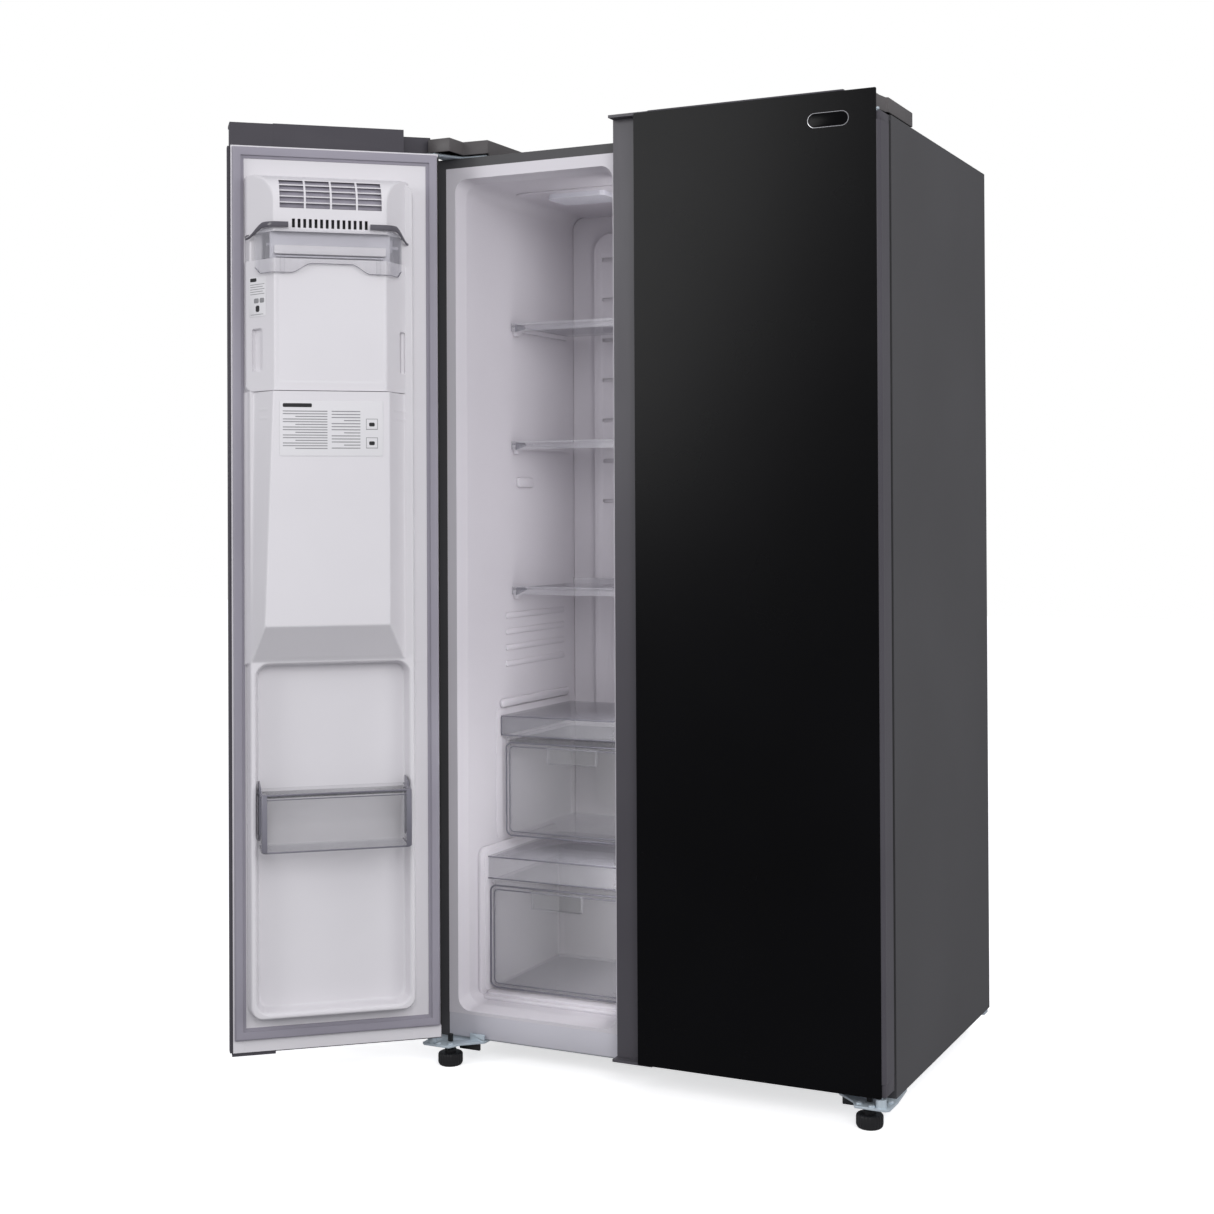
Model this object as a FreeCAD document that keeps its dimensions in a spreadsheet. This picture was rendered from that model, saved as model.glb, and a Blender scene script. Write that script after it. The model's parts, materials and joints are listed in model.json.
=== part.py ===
"""Side by side refrigerator: cabinet, two hinged doors, drawers, shelves, ice maker and cooling parts.

Coordinates while modelling: x = 0 on the cabinet's centre line, y = 0 on the cabinet's front
plane with +y to the back, z = 0 on the floor.  The freezer door on the left is modelled closed and
then swung open about its hinge pins.  At the end every sub-part is shifted so that the frame's
origin lies on the floor under the middle of the whole footprint.
"""
import FreeCAD, Part
import math
import os
import Sketcher
from FreeCAD import Placement, Rotation, Vector

# ---------------------------------------------------------------- driving dimensions, millimetres
DIMENSIONS = {
    # cabinet
    "cab_wide": 900, "cab_deep": 629, "cab_low": 44, "cab_top": 1718,
    "skin": 1, "front_return": 18, "sheet": 2,
    "divider_x": -59, "base_front": 89,
    "machine_y": 430, "machine_top": 300,
    # compartments, measured inside the liners
    "fz_left": -405, "fz_right": -85, "fr_left": -33, "fr_right": 405,
    "cav_low": 102, "cav_top": 1671, "cav_back": 565, "cav_step_back": 392, "cav_step_z": 336,
    "cav_round": 25, "flare": 7, "flare_deep": 30, "liner": 2,
    "rib_wide": 8, "rib_high": 9, "rib_front": 212, "rib_back": 440,
    # doors: u runs from the hinge side towards the free edge
    "fz_door": 384, "fr_door": 508,
    "glass_front": -62.1, "glass_back": -58.6, "glass_low": 60, "glass_top": 1753.6,
    "glass_inset": 7, "handle_gap": 52, "handle_root": 78, "handle_floor": -38, "handle_lip": 6,
    "handle_low": 57.5, "handle_top": 1756, "handle_end": 5,
    "door_back": -12, "door_low": 62, "door_top": 1715, "cap_low": 84, "cap_high": 1700,
    "side_wall": 6.8, "bar_start": 65, "bar_top": 1757, "cap_wall": 3,
    "gasket_in": 3.6, "gasket_wide": 21, "gasket_back": -0.8, "gasket_low": 87, "gasket_top": 1711,
    "dike_start": 50, "dike_end": 28, "dike_wide": 16, "dike_back": 25, "dike_low": 125,
    "dike_top": 1655, "dike_wall": 2, "dike_round": 22,
    # hinges
    "hinge_in": 11, "hinge_y": -51, "pin_r": 3.5, "pin_play": 0.05, "door_open": 138.8,
    "eye_r": 6.5, "plate_thick": 4, "cover_top": 1748, "cover_back": 139, "cover_in": 339,
    "nose_in": 391, "bottom_arm": 350,
    # feet and rollers
    "foot_x": 412, "foot_y": -30, "foot_r": 23.5, "foot_high": 24, "stud_r": 5,
    "roller_x": 400, "roller_y": 590, "roller_r": 15, "roller_wide": 16, "axle_r": 3,
    # shelves and drawers
    "shelf_thick": 4, "shelf_play": 1, "fz_shelf_front": 200, "fz_shelf_back": 452,
    "fz_shelf_top": 1418, "fz_shelf_mid": 1181, "fz_shelf_low": 890,
    "fr_shelf_front": 165, "fr_shelf_back": 535,
    "fr_shelf_top": 1400, "fr_shelf_mid": 1130, "fr_shelf_low": 860,
    "drawer_wall": 3, "drawer_play": 10,
    "drawer_up_front": 158, "drawer_up_back": 448, "drawer_up_low": 402, "drawer_up_top": 596,
    "drawer_low_front": 94, "drawer_low_back": 384, "drawer_low_low": 118, "drawer_low_top": 326,
    "cover_gap": 4, "valance_up_top": 640, "valance_low_top": 374,
    "crisper_up_front": 145, "crisper_up_back": 528, "crisper_up_low": 345, "crisper_up_top": 552,
    "crisper_low_front": 112, "crisper_low_back": 386, "crisper_low_low": 108,
    "crisper_low_top": 328, "crisper_lid_top": 566,
    # ice and water
    "tower_low": 802, "tower_top": 1262, "tower_back": 85, "tower_u0": 64, "tower_u1": 342,
    "tower_face_u0": 108, "tower_face_low_u1": 330, "tower_face_top_u1": 314, "tower_slope": 36,
    "ice_u0": 68, "ice_u1": 338, "ice_face_u0": 112, "ice_face_u1": 312, "ice_root": -9,
    "ice_knee": 15, "ice_face": 82, "ice_wall": 3,
    "housing_low": 1556, "housing_top": 1634, "bucket_low": 1268, "bucket_top": 1495,
    "tray_z": 1528, "tray_y": 34, "auger_z": 1304, "auger_y": 40, "auger_r": 24,
    "guard_low": 1472, "guard_top": 1550,
    "bezel_u0": 91, "bezel_u1": 281, "bezel_low": 904, "bezel_top": 1192, "bezel_front": -66,
    "recess_u0": 101, "recess_u1": 271, "recess_low": 918, "recess_top": 1104,
    "recess_back": 27, "recess_wall": 3,
}

doc = FreeCAD.newDocument("refrigerator")
sheet = doc.addObject("Spreadsheet::Sheet", "Dims")


def fill_sheet(values):
    """Write each driving dimension to its own row of the sheet, as a number with an alias."""
    start = 2
    for row, (name, value) in enumerate(values.items(), start):
        sheet.set(f"A{row}", name)
        sheet.set(f"B{row}", str(value))
        sheet.setAlias(f"B{row}", name)


fill_sheet({**DIMENSIONS, "origin_x": 0, "origin_y": 0})
doc.recompute()


class Size:
    """A length that knows both its value and the spreadsheet formula it comes from."""

    def __init__(self, value, formula):
        self.value = value
        self.formula = formula

    def __add__(self, other):
        other = size(other)
        return Size(self.value + other.value, f"({self.formula} + {other.formula})")

    def __sub__(self, other):
        other = size(other)
        return Size(self.value - other.value, f"({self.formula} - {other.formula})")

    def __mul__(self, other):
        other = size(other)
        return Size(self.value * other.value, f"({self.formula} * {other.formula})")

    def __truediv__(self, other):
        other = size(other)
        return Size(self.value / other.value, f"({self.formula} / {other.formula})")

    def __neg__(self):
        return Size(-self.value, f"(0 - {self.formula})")

    def __radd__(self, other):
        return size(other) + self

    def __rsub__(self, other):
        return size(other) - self

    def __rmul__(self, other):
        return size(other) * self


def size(value):
    """Turn a plain number into a Size; a Size stays as it is."""
    if isinstance(value, Size):
        return value
    return Size(value, f"({value:.6f})")


class Sheet:
    """Reads the sheet's cells as attributes: d.skin is the cell with the alias skin."""

    def __getattr__(self, name):
        return Size(DIMENSIONS[name], f"Dims.{name}")


d = Sheet()
NODES = {}
SWUNG = set()


def keep(label, thing, swung=False):
    """Register an object as a sub-part; a swung one turns with the freezer door."""
    thing.Label = label
    NODES[label] = thing
    if swung:
        SWUNG.add(label)
    return thing


# ---------------------------------------------------------------- sketch outlines
def rect(a0, b0, a1, b1, radius=None):
    """A rectangle between two corners, given in any order, with optional round corners."""
    a0, a1 = sorted((size(a0), size(a1)), key=lambda v: v.value)
    b0, b1 = sorted((size(b0), size(b1)), key=lambda v: v.value)
    return ("rect", a0, b0, a1, b1, radius if radius is None else size(radius))


def poly(*points):
    return ("poly", [(size(a), size(b)) for a, b in points])


def disc(a, b, radius):
    return ("disc", size(a), size(b), size(radius))


def bound(sketch, constraint, length):
    """Add a dimension to a sketch and bind it to its formula."""
    index = sketch.addConstraint(constraint)
    sketch.setExpression(f"Constraints[{index}]", length.formula)


def draw_poly(sketch, points):
    first = sketch.GeometryCount
    count = len(points)
    places = [Vector(a.value, b.value, 0) for a, b in points]
    for i in range(count):
        sketch.addGeometry(Part.LineSegment(places[i], places[(i + 1) % count]), False)
    for i, (a, b) in enumerate(points):
        line = first + i
        following = first + (i + 1) % count
        sketch.addConstraint(Sketcher.Constraint("Coincident", line, 2, following, 1))
        bound(sketch, Sketcher.Constraint("DistanceX", -1, 1, line, 1, a.value), a)
        bound(sketch, Sketcher.Constraint("DistanceY", -1, 1, line, 1, b.value), b)


def draw_round_rect(sketch, a0, b0, a1, b1, radius):
    first = sketch.GeometryCount
    r = radius.value
    x0, y0, x1, y1 = a0.value, b0.value, a1.value, b1.value
    up = Vector(0, 0, 1)
    quarter = math.pi / 2
    sides = [
        (Vector(x0 + r, y0, 0), Vector(x1 - r, y0, 0)),
        (Vector(x1, y0 + r, 0), Vector(x1, y1 - r, 0)),
        (Vector(x1 - r, y1, 0), Vector(x0 + r, y1, 0)),
        (Vector(x0, y1 - r, 0), Vector(x0, y0 + r, 0)),
    ]
    centres = [
        Vector(x1 - r, y0 + r, 0), Vector(x1 - r, y1 - r, 0),
        Vector(x0 + r, y1 - r, 0), Vector(x0 + r, y0 + r, 0),
    ]
    for start, end in sides:
        sketch.addGeometry(Part.LineSegment(start, end), False)
    for i, centre in enumerate(centres):
        circle = Part.Circle(centre, up, r)
        sketch.addGeometry(Part.ArcOfCircle(circle, (i - 1) * quarter, i * quarter), False)
    for i in range(4):
        line, arc, following = first + i, first + 4 + i, first + (i + 1) % 4
        sketch.addConstraint(Sketcher.Constraint("Tangent", line, 2, arc, 1))
        sketch.addConstraint(Sketcher.Constraint("Tangent", arc, 2, following, 1))
        sketch.addConstraint(Sketcher.Constraint("Vertical" if i % 2 else "Horizontal", line))
    for i in range(1, 4):
        sketch.addConstraint(Sketcher.Constraint("Equal", first + 4, first + 4 + i))
    bound(sketch, Sketcher.Constraint("Radius", first + 4, r), radius)
    bound(sketch, Sketcher.Constraint("DistanceY", -1, 1, first, 1, y0), b0)
    bound(sketch, Sketcher.Constraint("DistanceX", -1, 1, first + 1, 1, x1), a1)
    bound(sketch, Sketcher.Constraint("DistanceY", -1, 1, first + 2, 1, y1), b1)
    bound(sketch, Sketcher.Constraint("DistanceX", -1, 1, first + 3, 1, x0), a0)


def draw_disc(sketch, a, b, radius):
    index = sketch.GeometryCount
    centre = Vector(a.value, b.value, 0)
    sketch.addGeometry(Part.Circle(centre, Vector(0, 0, 1), radius.value), False)
    bound(sketch, Sketcher.Constraint("Radius", index, radius.value), radius)
    bound(sketch, Sketcher.Constraint("DistanceX", -1, 1, index, 3, a.value), a)
    bound(sketch, Sketcher.Constraint("DistanceY", -1, 1, index, 3, b.value), b)


def draw(sketch, outline):
    kind = outline[0]
    if kind == "poly":
        draw_poly(sketch, outline[1])
    elif kind == "disc":
        draw_disc(sketch, *outline[1:])
    elif outline[5] is None:
        _, a0, b0, a1, b1, _ = outline
        draw_poly(sketch, [(a0, b0), (a1, b0), (a1, b1), (a0, b1)])
    else:
        draw_round_rect(sketch, *outline[1:])


class Piece:
    """A sub-part made as a PartDesign body, feature by feature."""

    def __init__(self, label, swung=False):
        self.body = doc.addObject("PartDesign::Body", label)
        self.body.AllowCompound = True
        keep(label, self.body, swung)

    def sketch(self, plane, offset, outlines):
        """Sketch on an origin plane moved along its normal: XY and YZ look up their axis, XZ down."""
        name = f"{self.body.Name}_sketch"
        sketch = self.body.newObject("Sketcher::SketchObject", name)
        features = self.body.Origin.OriginFeatures
        support = next(f for f in features if f.Role == f"{plane}_Plane")
        sketch.AttachmentSupport = (support, [""])
        sketch.MapMode = "FlatFace"
        sketch.setExpression("AttachmentOffset.Base.z", offset.formula)
        for outline in outlines:
            draw(sketch, outline)
        return sketch

    def feature(self, kind, sketch):
        made = self.body.newObject(kind, f"{self.body.Name}_{kind.split('::')[1].lower()}")
        made.Profile = sketch
        return made

    def pad(self, plane, outlines, low, high):
        """Add material over the outlines between two heights on the axis across the plane."""
        low, high = size(low), size(high)
        start = -high if plane == "XZ" else low
        sketch = self.sketch(plane, start, outlines)
        pad = self.feature("PartDesign::Pad", sketch)
        pad.setExpression("Length", (high - low).formula)
        return self

    def cut(self, plane, outlines, low, high):
        """Remove material over the outlines between two heights on the axis across the plane."""
        low, high = size(low), size(high)
        start = -low if plane == "XZ" else high
        sketch = self.sketch(plane, start, outlines)
        pocket = self.feature("PartDesign::Pocket", sketch)
        pocket.setExpression("Length", (high - low).formula)
        return self

    def loft(self, kind, first, first_y, second, second_y):
        """Join two outlines on XZ planes at two depths; kind is Additive or Subtractive."""
        start = self.sketch("XZ", -size(first_y), [first])
        end = self.sketch("XZ", -size(second_y), [second])
        loft = self.feature(f"PartDesign::{kind}Loft", start)
        loft.Sections = [end]
        loft.Ruled = True
        return self

    def turn(self, outline, centre_x, centre_y):
        """Revolve an outline of (radius, height) about the upright line at a place."""
        sketch = self.sketch("XZ", size(0), [outline])
        turned = self.feature("PartDesign::Revolution", sketch)
        turned.ReferenceAxis = (sketch, ["V_Axis"])
        turned.Angle = 360
        self.body.setExpression("Placement.Base.x", size(centre_x).formula)
        self.body.setExpression("Placement.Base.y", size(centre_y).formula)
        return self

    def edges(self, test):
        """The names of the tip's edges that a test on their two end points accepts."""
        doc.recompute()
        names = []
        for number, edge in enumerate(self.body.Tip.Shape.Edges, 1):
            ends = [v.Point for v in edge.Vertexes]
            if len(ends) == 2 and test(ends[0], ends[1]):
                names.append(f"Edge{number}")
        return names

    def dress(self, kind, amount, test):
        """Fillet or chamfer the edges that a test accepts."""
        names = self.edges(test)
        base = self.body.Tip
        made = self.body.newObject(f"PartDesign::{kind}", f"{self.body.Name}_{kind.lower()}")
        made.Base = (base, names)
        made.setExpression("Radius" if kind == "Fillet" else "Size", size(amount).formula)
        return self

    def repeat_round(self, axis, count):
        """Repeat the last feature about one of the body's own axes."""
        doc.recompute()
        source = self.body.Tip
        pattern = self.body.newObject("PartDesign::PolarPattern", f"{self.body.Name}_ring")
        pattern.Originals = [source]
        features = self.body.Origin.OriginFeatures
        line = next(f for f in features if f.Role == f"{axis}_Axis")
        pattern.Axis = (line, [""])
        pattern.Angle = 360
        pattern.Occurrences = count
        self.body.Tip = pattern
        return self

    def repeat_line(self, axis, pitch, count):
        """Repeat the last feature along one of the body's own axes."""
        doc.recompute()
        source = self.body.Tip
        pattern = self.body.newObject("PartDesign::LinearPattern", f"{self.body.Name}_row")
        pattern.Originals = [source]
        features = self.body.Origin.OriginFeatures
        line = next(f for f in features if f.Role == f"{axis}_Axis")
        pattern.Direction = (line, [""])
        pattern.Length = pitch * (count - 1)
        pattern.Occurrences = count
        self.body.Tip = pattern
        return self

    def place(self, x, y, z):
        for axis, value in zip("xyz", (x, y, z)):
            self.body.setExpression(f"Placement.Base.{axis}", size(value).formula)
        return self


# ---------------------------------------------------------------- Part primitives
def box(low, high):
    """A Part box between two corners."""
    made = doc.addObject("Part::Box", "Block")
    low = [size(v) for v in low]
    high = [size(v) for v in high]
    for axis, name, start, end in zip("xyz", ("Length", "Width", "Height"), low, high):
        made.setExpression(name, (end - start).formula)
        made.setExpression(f"Placement.Base.{axis}", start.formula)
    return made


TURNS = {"z": Rotation(), "x": Rotation(Vector(0, 1, 0), 90), "y": Rotation(Vector(1, 0, 0), -90)}


def rod(start, radius, length, axis="z"):
    """A Part cylinder from a point along +x, +y or +z."""
    made = doc.addObject("Part::Cylinder", "Rod")
    made.Placement = Placement(Vector(), TURNS[axis])
    made.setExpression("Radius", size(radius).formula)
    made.setExpression("Height", size(length).formula)
    for letter, value in zip("xyz", start):
        made.setExpression(f"Placement.Base.{letter}", size(value).formula)
    return made


def cut_from(base, *tools):
    for tool in tools:
        made = doc.addObject("Part::Cut", "Cut")
        made.Base = base
        made.Tool = tool
        base = made
    return base


def fuse(*shapes):
    made = doc.addObject("Part::MultiFuse", "Fusion")
    made.Shapes = list(shapes)
    return made


def group(label, shapes, swung=False):
    """Several separate solids kept as one sub-part."""
    made = doc.addObject("Part::Compound", label)
    made.Links = list(shapes)
    return keep(label, made, swung)


SIDES = (-1, 1)
half_wide = d.cab_wide / 2
inner_x = half_wide - d.skin
back_y = d.cab_deep - d.sheet
hinge_x = half_wide - d.hinge_in


# ---------------------------------------------------------------- cabinet
def cabinet_shell():
    piece = Piece("cabinet_shell")
    top = d.cab_top
    inner_top = top - d.skin
    wrap = poly(
        (-half_wide, d.cab_low), (-inner_x, d.cab_low), (-inner_x, inner_top), (inner_x, inner_top),
        (inner_x, d.cab_low), (half_wide, d.cab_low), (half_wide, top), (-half_wide, top),
    )
    piece.pad("XZ", [wrap], 0, d.cab_deep)
    edge = half_wide - d.front_return
    band = poly(
        (-half_wide, d.cab_low), (-edge, d.cab_low), (-edge, top - d.front_return),
        (edge, top - d.front_return), (edge, d.cab_low), (half_wide, d.cab_low),
        (half_wide, top), (-half_wide, top),
    )
    piece.pad("XZ", [band], 0, d.skin)


def base_plate():
    """Floor sheet, riser and roof of the machine space, with ears for the rear rollers."""
    piece = Piece("base_plate")
    low, high = d.cab_low, d.cab_low + d.sheet
    front = d.machine_y - d.sheet
    profile = poly(
        (d.skin, low), (back_y, low), (back_y, high), (d.machine_y, high),
        (d.machine_y, d.machine_top), (back_y, d.machine_top),
        (back_y, d.machine_top + d.sheet), (front, d.machine_top + d.sheet),
        (front, high), (d.skin, high),
    )
    piece.pad("YZ", [profile], -inner_x, inner_x)
    ear_half = 12
    ear_gap = d.roller_wide / 2 + 1
    for side in SIDES:
        for hand in SIDES:
            near = d.roller_x * side + ear_gap * hand
            far = near + d.sheet * hand
            ear = rect(d.roller_y - ear_half, d.roller_r - 8, d.roller_y + ear_half, low)
            hole = disc(d.roller_y, d.roller_r, d.axle_r + d.pin_play / 2)
            start, end = sorted((near, far), key=lambda v: v.value)
            piece.pad("YZ", [ear, hole], start, end)


def cavity(piece, add, left, right, grow):
    """The room inside one compartment: a stepped box with a flared mouth, grown by a wall."""
    left, right = left - grow, right + grow
    low, top = d.cav_low - grow, d.cav_top + grow
    radius = d.cav_round + grow
    upper = rect(left, d.cav_step_z - grow, right, top, radius)
    deep = d.flare_deep
    whole = rect(left, low, right, top, radius)
    mouth = rect(left - d.flare, low - d.flare, right + d.flare, top + d.flare, radius)
    if add:
        piece.pad("XZ", [whole], deep, d.cav_step_back + grow)
        piece.pad("XZ", [upper], deep, d.cav_back + grow)
        piece.loft("Additive", mouth, 0, whole, deep)
    else:
        piece.cut("XZ", [whole], deep - 1, d.cav_step_back + grow)
        piece.cut("XZ", [upper], deep, d.cav_back + grow)
        piece.loft("Subtractive", mouth, 0, whole, deep)


def liner(label, left, right, flange_left, flange_right, shelf_tops):
    piece = Piece(label)
    cavity(piece, True, left, right, d.liner)
    flange = rect(flange_left, d.base_front, flange_right, d.cab_top - d.front_return)
    piece.pad("XZ", [flange], 0, d.liner)
    cavity(piece, False, left, right, size(0))
    ribs = [
        rect(d.rib_front, top - d.shelf_thick - d.rib_high, d.rib_back, top - d.shelf_thick - 0.5)
        for top in shelf_tops
    ]
    piece.pad("YZ", ribs, left - 1, left + d.rib_wide)
    piece.pad("YZ", ribs, right - d.rib_wide, right + 1)


FREEZER_TOPS = (d.fz_shelf_top, d.fz_shelf_mid, d.fz_shelf_low)
FRIDGE_TOPS = (d.fr_shelf_top, d.fr_shelf_mid, d.fr_shelf_low)


def liners():
    edge = half_wide - d.front_return
    liner("freezer_liner", d.fz_left, d.fz_right, -edge, d.divider_x, FREEZER_TOPS)
    liner("fridge_liner", d.fr_left, d.fr_right, d.divider_x, edge, FRIDGE_TOPS)


def cabinet_foam():
    """Insulation that fills everything between the steel skin and the two liners."""
    piece = Piece("cabinet_foam")
    whole = rect(-inner_x, d.cab_low + d.sheet, inner_x, d.cab_top - d.skin)
    piece.pad("XZ", [whole], d.liner, back_y)
    machine = rect(d.machine_y - d.sheet, d.cab_low, d.cab_deep, d.machine_top + d.sheet)
    piece.cut("YZ", [machine], -half_wide, half_wide)
    edge = half_wide - d.front_return
    strip = rect(-edge, d.cab_low, edge, d.base_front)
    piece.cut("XZ", [strip], 0, 8)
    cavity(piece, False, d.fz_left, d.fz_right, d.liner)
    cavity(piece, False, d.fr_left, d.fr_right, d.liner)


def cabinet_panels():
    keep("back_panel", box(
        (-inner_x, back_y, d.machine_top + d.sheet), (inner_x, back_y + d.skin, d.cab_top - d.skin)))
    edge = half_wide - d.front_return
    panel = Piece("front_base_panel")
    panel.pad("XZ", [rect(-edge, d.cab_low + d.sheet, edge, d.base_front)], 0, 8)
    lip = rect(-edge + 3, d.cab_low + d.sheet + 3, edge - 3, d.base_front - 3)
    panel.cut("XZ", [lip], 3, 8)
    cover = Piece("machine_cover")
    low, top = d.cab_low + d.sheet + 1, d.machine_top - 1
    cover.pad("XZ", [rect(-inner_x + 1, low, inner_x - 1, top)], back_y - 1, back_y + 1)
    pitch, count = 30, 10
    slots = []
    for z in (90, 170):
        for x in (-360, 90):
            slots.append(rect(x - 5, z, x + 5, z + 55, 4.9))
    cover.cut("XZ", slots, back_y - 2, back_y + 2)
    cover.repeat_line("X", pitch, count)
    cover.cut("XZ", [disc(360, 262, 7.2)], back_y - 2, back_y + 2)


def finned_coil(label, x0, x1, y0, y1, z0, z1, pitch, tubes):
    """A heat exchanger: straight tubes through a row of thin fins."""
    piece = Piece(label)
    count = int((x1 - x0) / pitch)
    margin = 10
    piece.pad("YZ", [rect(y0, z0, y1, z1)], x0 + margin, x0 + margin + 1.2)
    piece.repeat_line("X", pitch, count - 1)
    rows = [disc(y, z, 4) for y, z in tubes]
    piece.pad("YZ", rows, x0, x1)


def machine_space():
    across = [(y, z) for z in (105, 135, 165, 195) for y in (500, 540, 580)]
    finned_coil("condenser_coil", -385, -130, 480, 600, 90, 210, 9, across)
    pan = cut_from(box((-400, 445, 47), (-110, 615, 78)), box((-397, 448, 50), (-113, 612, 90)))
    keep("drain_pan", pan)
    centre_x, centre_y = 230, 528
    shell = Piece("compressor")
    shell.turn(poly(
        (0, 60), (92, 60), (92, 64), (72, 64), (78, 90), (78, 165), (66, 195), (40, 212), (0, 216),
    ), centre_x, centre_y)
    shell.pad("XY", [disc(0, 0, 6)], 200, 236)
    mounts = []
    for side in SIDES:
        for hand in SIDES:
            mounts.append(rod((centre_x + side * 62, centre_y + hand * 62, 46), 10, 14))
    group("compressor_mounts", mounts)


def fan(label, axis, hub_r, tip_r, thick, place):
    """A hub and five blades about one of the body's axes, with a bore for the motor shaft."""
    plane = "YZ" if axis == "X" else "XZ"
    piece = Piece(label)
    root = hub_r - 3
    half = root * 0.55
    tip = tip_r * 0.98
    piece.pad(plane, [poly((root, -half), (tip, -half * 1.2), (tip, half * 1.9), (root, half))],
              -thick / 2, thick / 2)
    piece.repeat_round(axis, 5)
    piece.pad(plane, [disc(0, 0, hub_r)], -thick * 2, thick * 2)
    piece.cut(plane, [disc(0, 0, 2.55)], -thick * 2 - 1, thick * 2 + 1)
    piece.place(*place)


def fans():
    fan("condenser_fan", "X", 16, 62, 4, (-70, 530, 140))
    fan("evaporator_fan", "Y", 15, 52, 4, (-245, 506, 1010))
    warm = fuse(
        rod((-55, 530, 140), 22, 34, "x"), rod((-84, 530, 140), 2.5, 30, "x"),
        box((-48, 518, 46), (-36, 542, 122)),
    )
    cold = fuse(
        rod((-245, 520, 1010), 22, 28, "y"), rod((-245, 494, 1010), 2.5, 27, "y"),
        box((-290, 548, 1000), (-200, 564.5, 1020)),
    )
    group("fan_motors", [warm, cold])
    across = [(y, z) for z in (420, 490, 560, 630, 700, 770) for y in (510, 540)]
    finned_coil("evaporator_coil", -385, -105, 495, 555, 400, 800, 10, across)


def back_ducts():
    piece = Piece("freezer_back_duct")
    play = 1
    sheet_front, sheet_back = 478, 481
    piece.pad("XZ", [rect(d.fz_left + play, d.cav_step_z + play, d.fz_right - play,
                          d.cav_top - play, d.cav_round)], sheet_front, sheet_back)
    col_l, col_r, col_low, col_top = -343, -147, 420, 1628
    piece.pad("XZ", [rect(col_l, col_low, col_r, col_top, 40)], 455, sheet_front)
    piece.cut("XZ", [rect(col_l + 3, col_low + 3, col_r - 3, col_top - 3, 37)], 458, sheet_back + 1)
    slots = [rect(x - 24, 1060, x + 24, 1068, 3.9) for x in (-300, -190)]
    piece.cut("XZ", slots, 450, 460)
    piece.repeat_line("Z", 85, 7)
    tall = Piece("fridge_back_duct")
    tall.pad("XZ", [rect(106, 350, 266, 1640, 30)], 540, 564.5)
    tall.cut("XZ", [rect(109, 353, 263, 1637, 27)], 543, 566)
    vents = [rect(x - 20, 700, x + 20, 708, 3.9) for x in (150, 222)]
    tall.cut("XZ", vents, 535, 545)
    tall.repeat_line("Z", 150, 6)


def shelf_set(label, left, right, front, back, tops):
    """Flat clear shelves with a deeper front trim and a low back stop."""
    piece = Piece(label)
    left, right = left + d.shelf_play, right - d.shelf_play
    for top in tops:
        piece.pad("XY", [rect(left, front, right, back, 4)], top - d.shelf_thick, top)
        piece.pad("XY", [rect(left, front, right, front + 7, 3)], top - 13, top + 3)
        piece.pad("XY", [rect(left + 12, back - 5, right - 12, back, 2)], top - 1, top + 12)


def shelves():
    shelf_set("freezer_shelves", d.fz_left, d.fz_right, d.fz_shelf_front, d.fz_shelf_back,
              FREEZER_TOPS)
    shelf_set("fridge_shelves", d.fr_left, d.fr_right, d.fr_shelf_front, d.fr_shelf_back,
              FRIDGE_TOPS)


def drawer(label, left, right, front, back, low, top):
    """An open box with round corners, a rim and a scooped pull in its front."""
    piece = Piece(label)
    wall = d.drawer_wall
    piece.pad("XY", [rect(left, front, right, back, 14)], low, top)
    piece.cut("XY", [rect(left + wall, front + wall, right - wall, back - wall, 11)], low + wall, top)
    rim = [rect(left - 3, front - 2, right + 3, back, 15),
           rect(left + wall, front + wall, right - wall, back - wall, 11)]
    piece.pad("XY", rim, top - 7, top)
    middle = (left + right) / 2
    pull = [rect(middle - 55, front - 14, middle + 55, front + 1, 6),
            rect(middle - 51, front - 10, middle + 51, front - 0.5, 4)]
    piece.pad("XY", pull, top - 46, top - 12)


def drawers():
    left, right = d.fz_left + d.drawer_play, d.fz_right - d.drawer_play
    drawer("freezer_drawer_upper", left, right, d.drawer_up_front, d.drawer_up_back,
           d.drawer_up_low, d.drawer_up_top)
    drawer("freezer_drawer_lower", left, right, d.drawer_low_front, d.drawer_low_back,
           d.drawer_low_low, d.drawer_low_top)
    left, right = d.fr_left + d.drawer_play, d.fr_right - d.drawer_play
    drawer("crisper_upper", left, right, d.crisper_up_front, d.crisper_up_back,
           d.crisper_up_low, d.crisper_up_top)
    drawer("crisper_lower", left, right, d.crisper_low_front, d.crisper_low_back,
           d.crisper_low_low, d.crisper_low_top)


def drawer_lids():
    piece = Piece("freezer_drawer_covers")
    left, right = d.fz_left + 2, d.fz_right - 2
    rows = (
        (d.drawer_up_front, d.fz_shelf_back, d.drawer_up_top, d.valance_up_top),
        (d.drawer_low_front, d.drawer_low_back + 4, d.drawer_low_top, d.valance_low_top),
    )
    for front, back, drawer_top, top in rows:
        face = front - 6
        piece.pad("XY", [rect(left, face, right, back, 5)], top - d.shelf_thick, top)
        piece.pad("XY", [rect(left, face, right, face + 3.5, 1.7)], drawer_top + d.cover_gap, top)
        for side_low, side_high in ((left, left + 3), (right - 3, right)):
            piece.pad("XY", [rect(side_low, face, side_high, back, 1.4)],
                      drawer_top + d.cover_gap, top)
    lid = Piece("crisper_cover")
    left, right = d.fr_left + 1, d.fr_right - 1
    front = d.crisper_up_front - 5
    lid.pad("XY", [rect(left, front, right, d.fr_shelf_back, 4)], d.crisper_lid_top - 4,
            d.crisper_lid_top)
    lid.pad("XY", [rect(left, front, right, front + 6, 2.5)], d.crisper_lid_top - 10,
            d.crisper_lid_top + 2)


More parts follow.
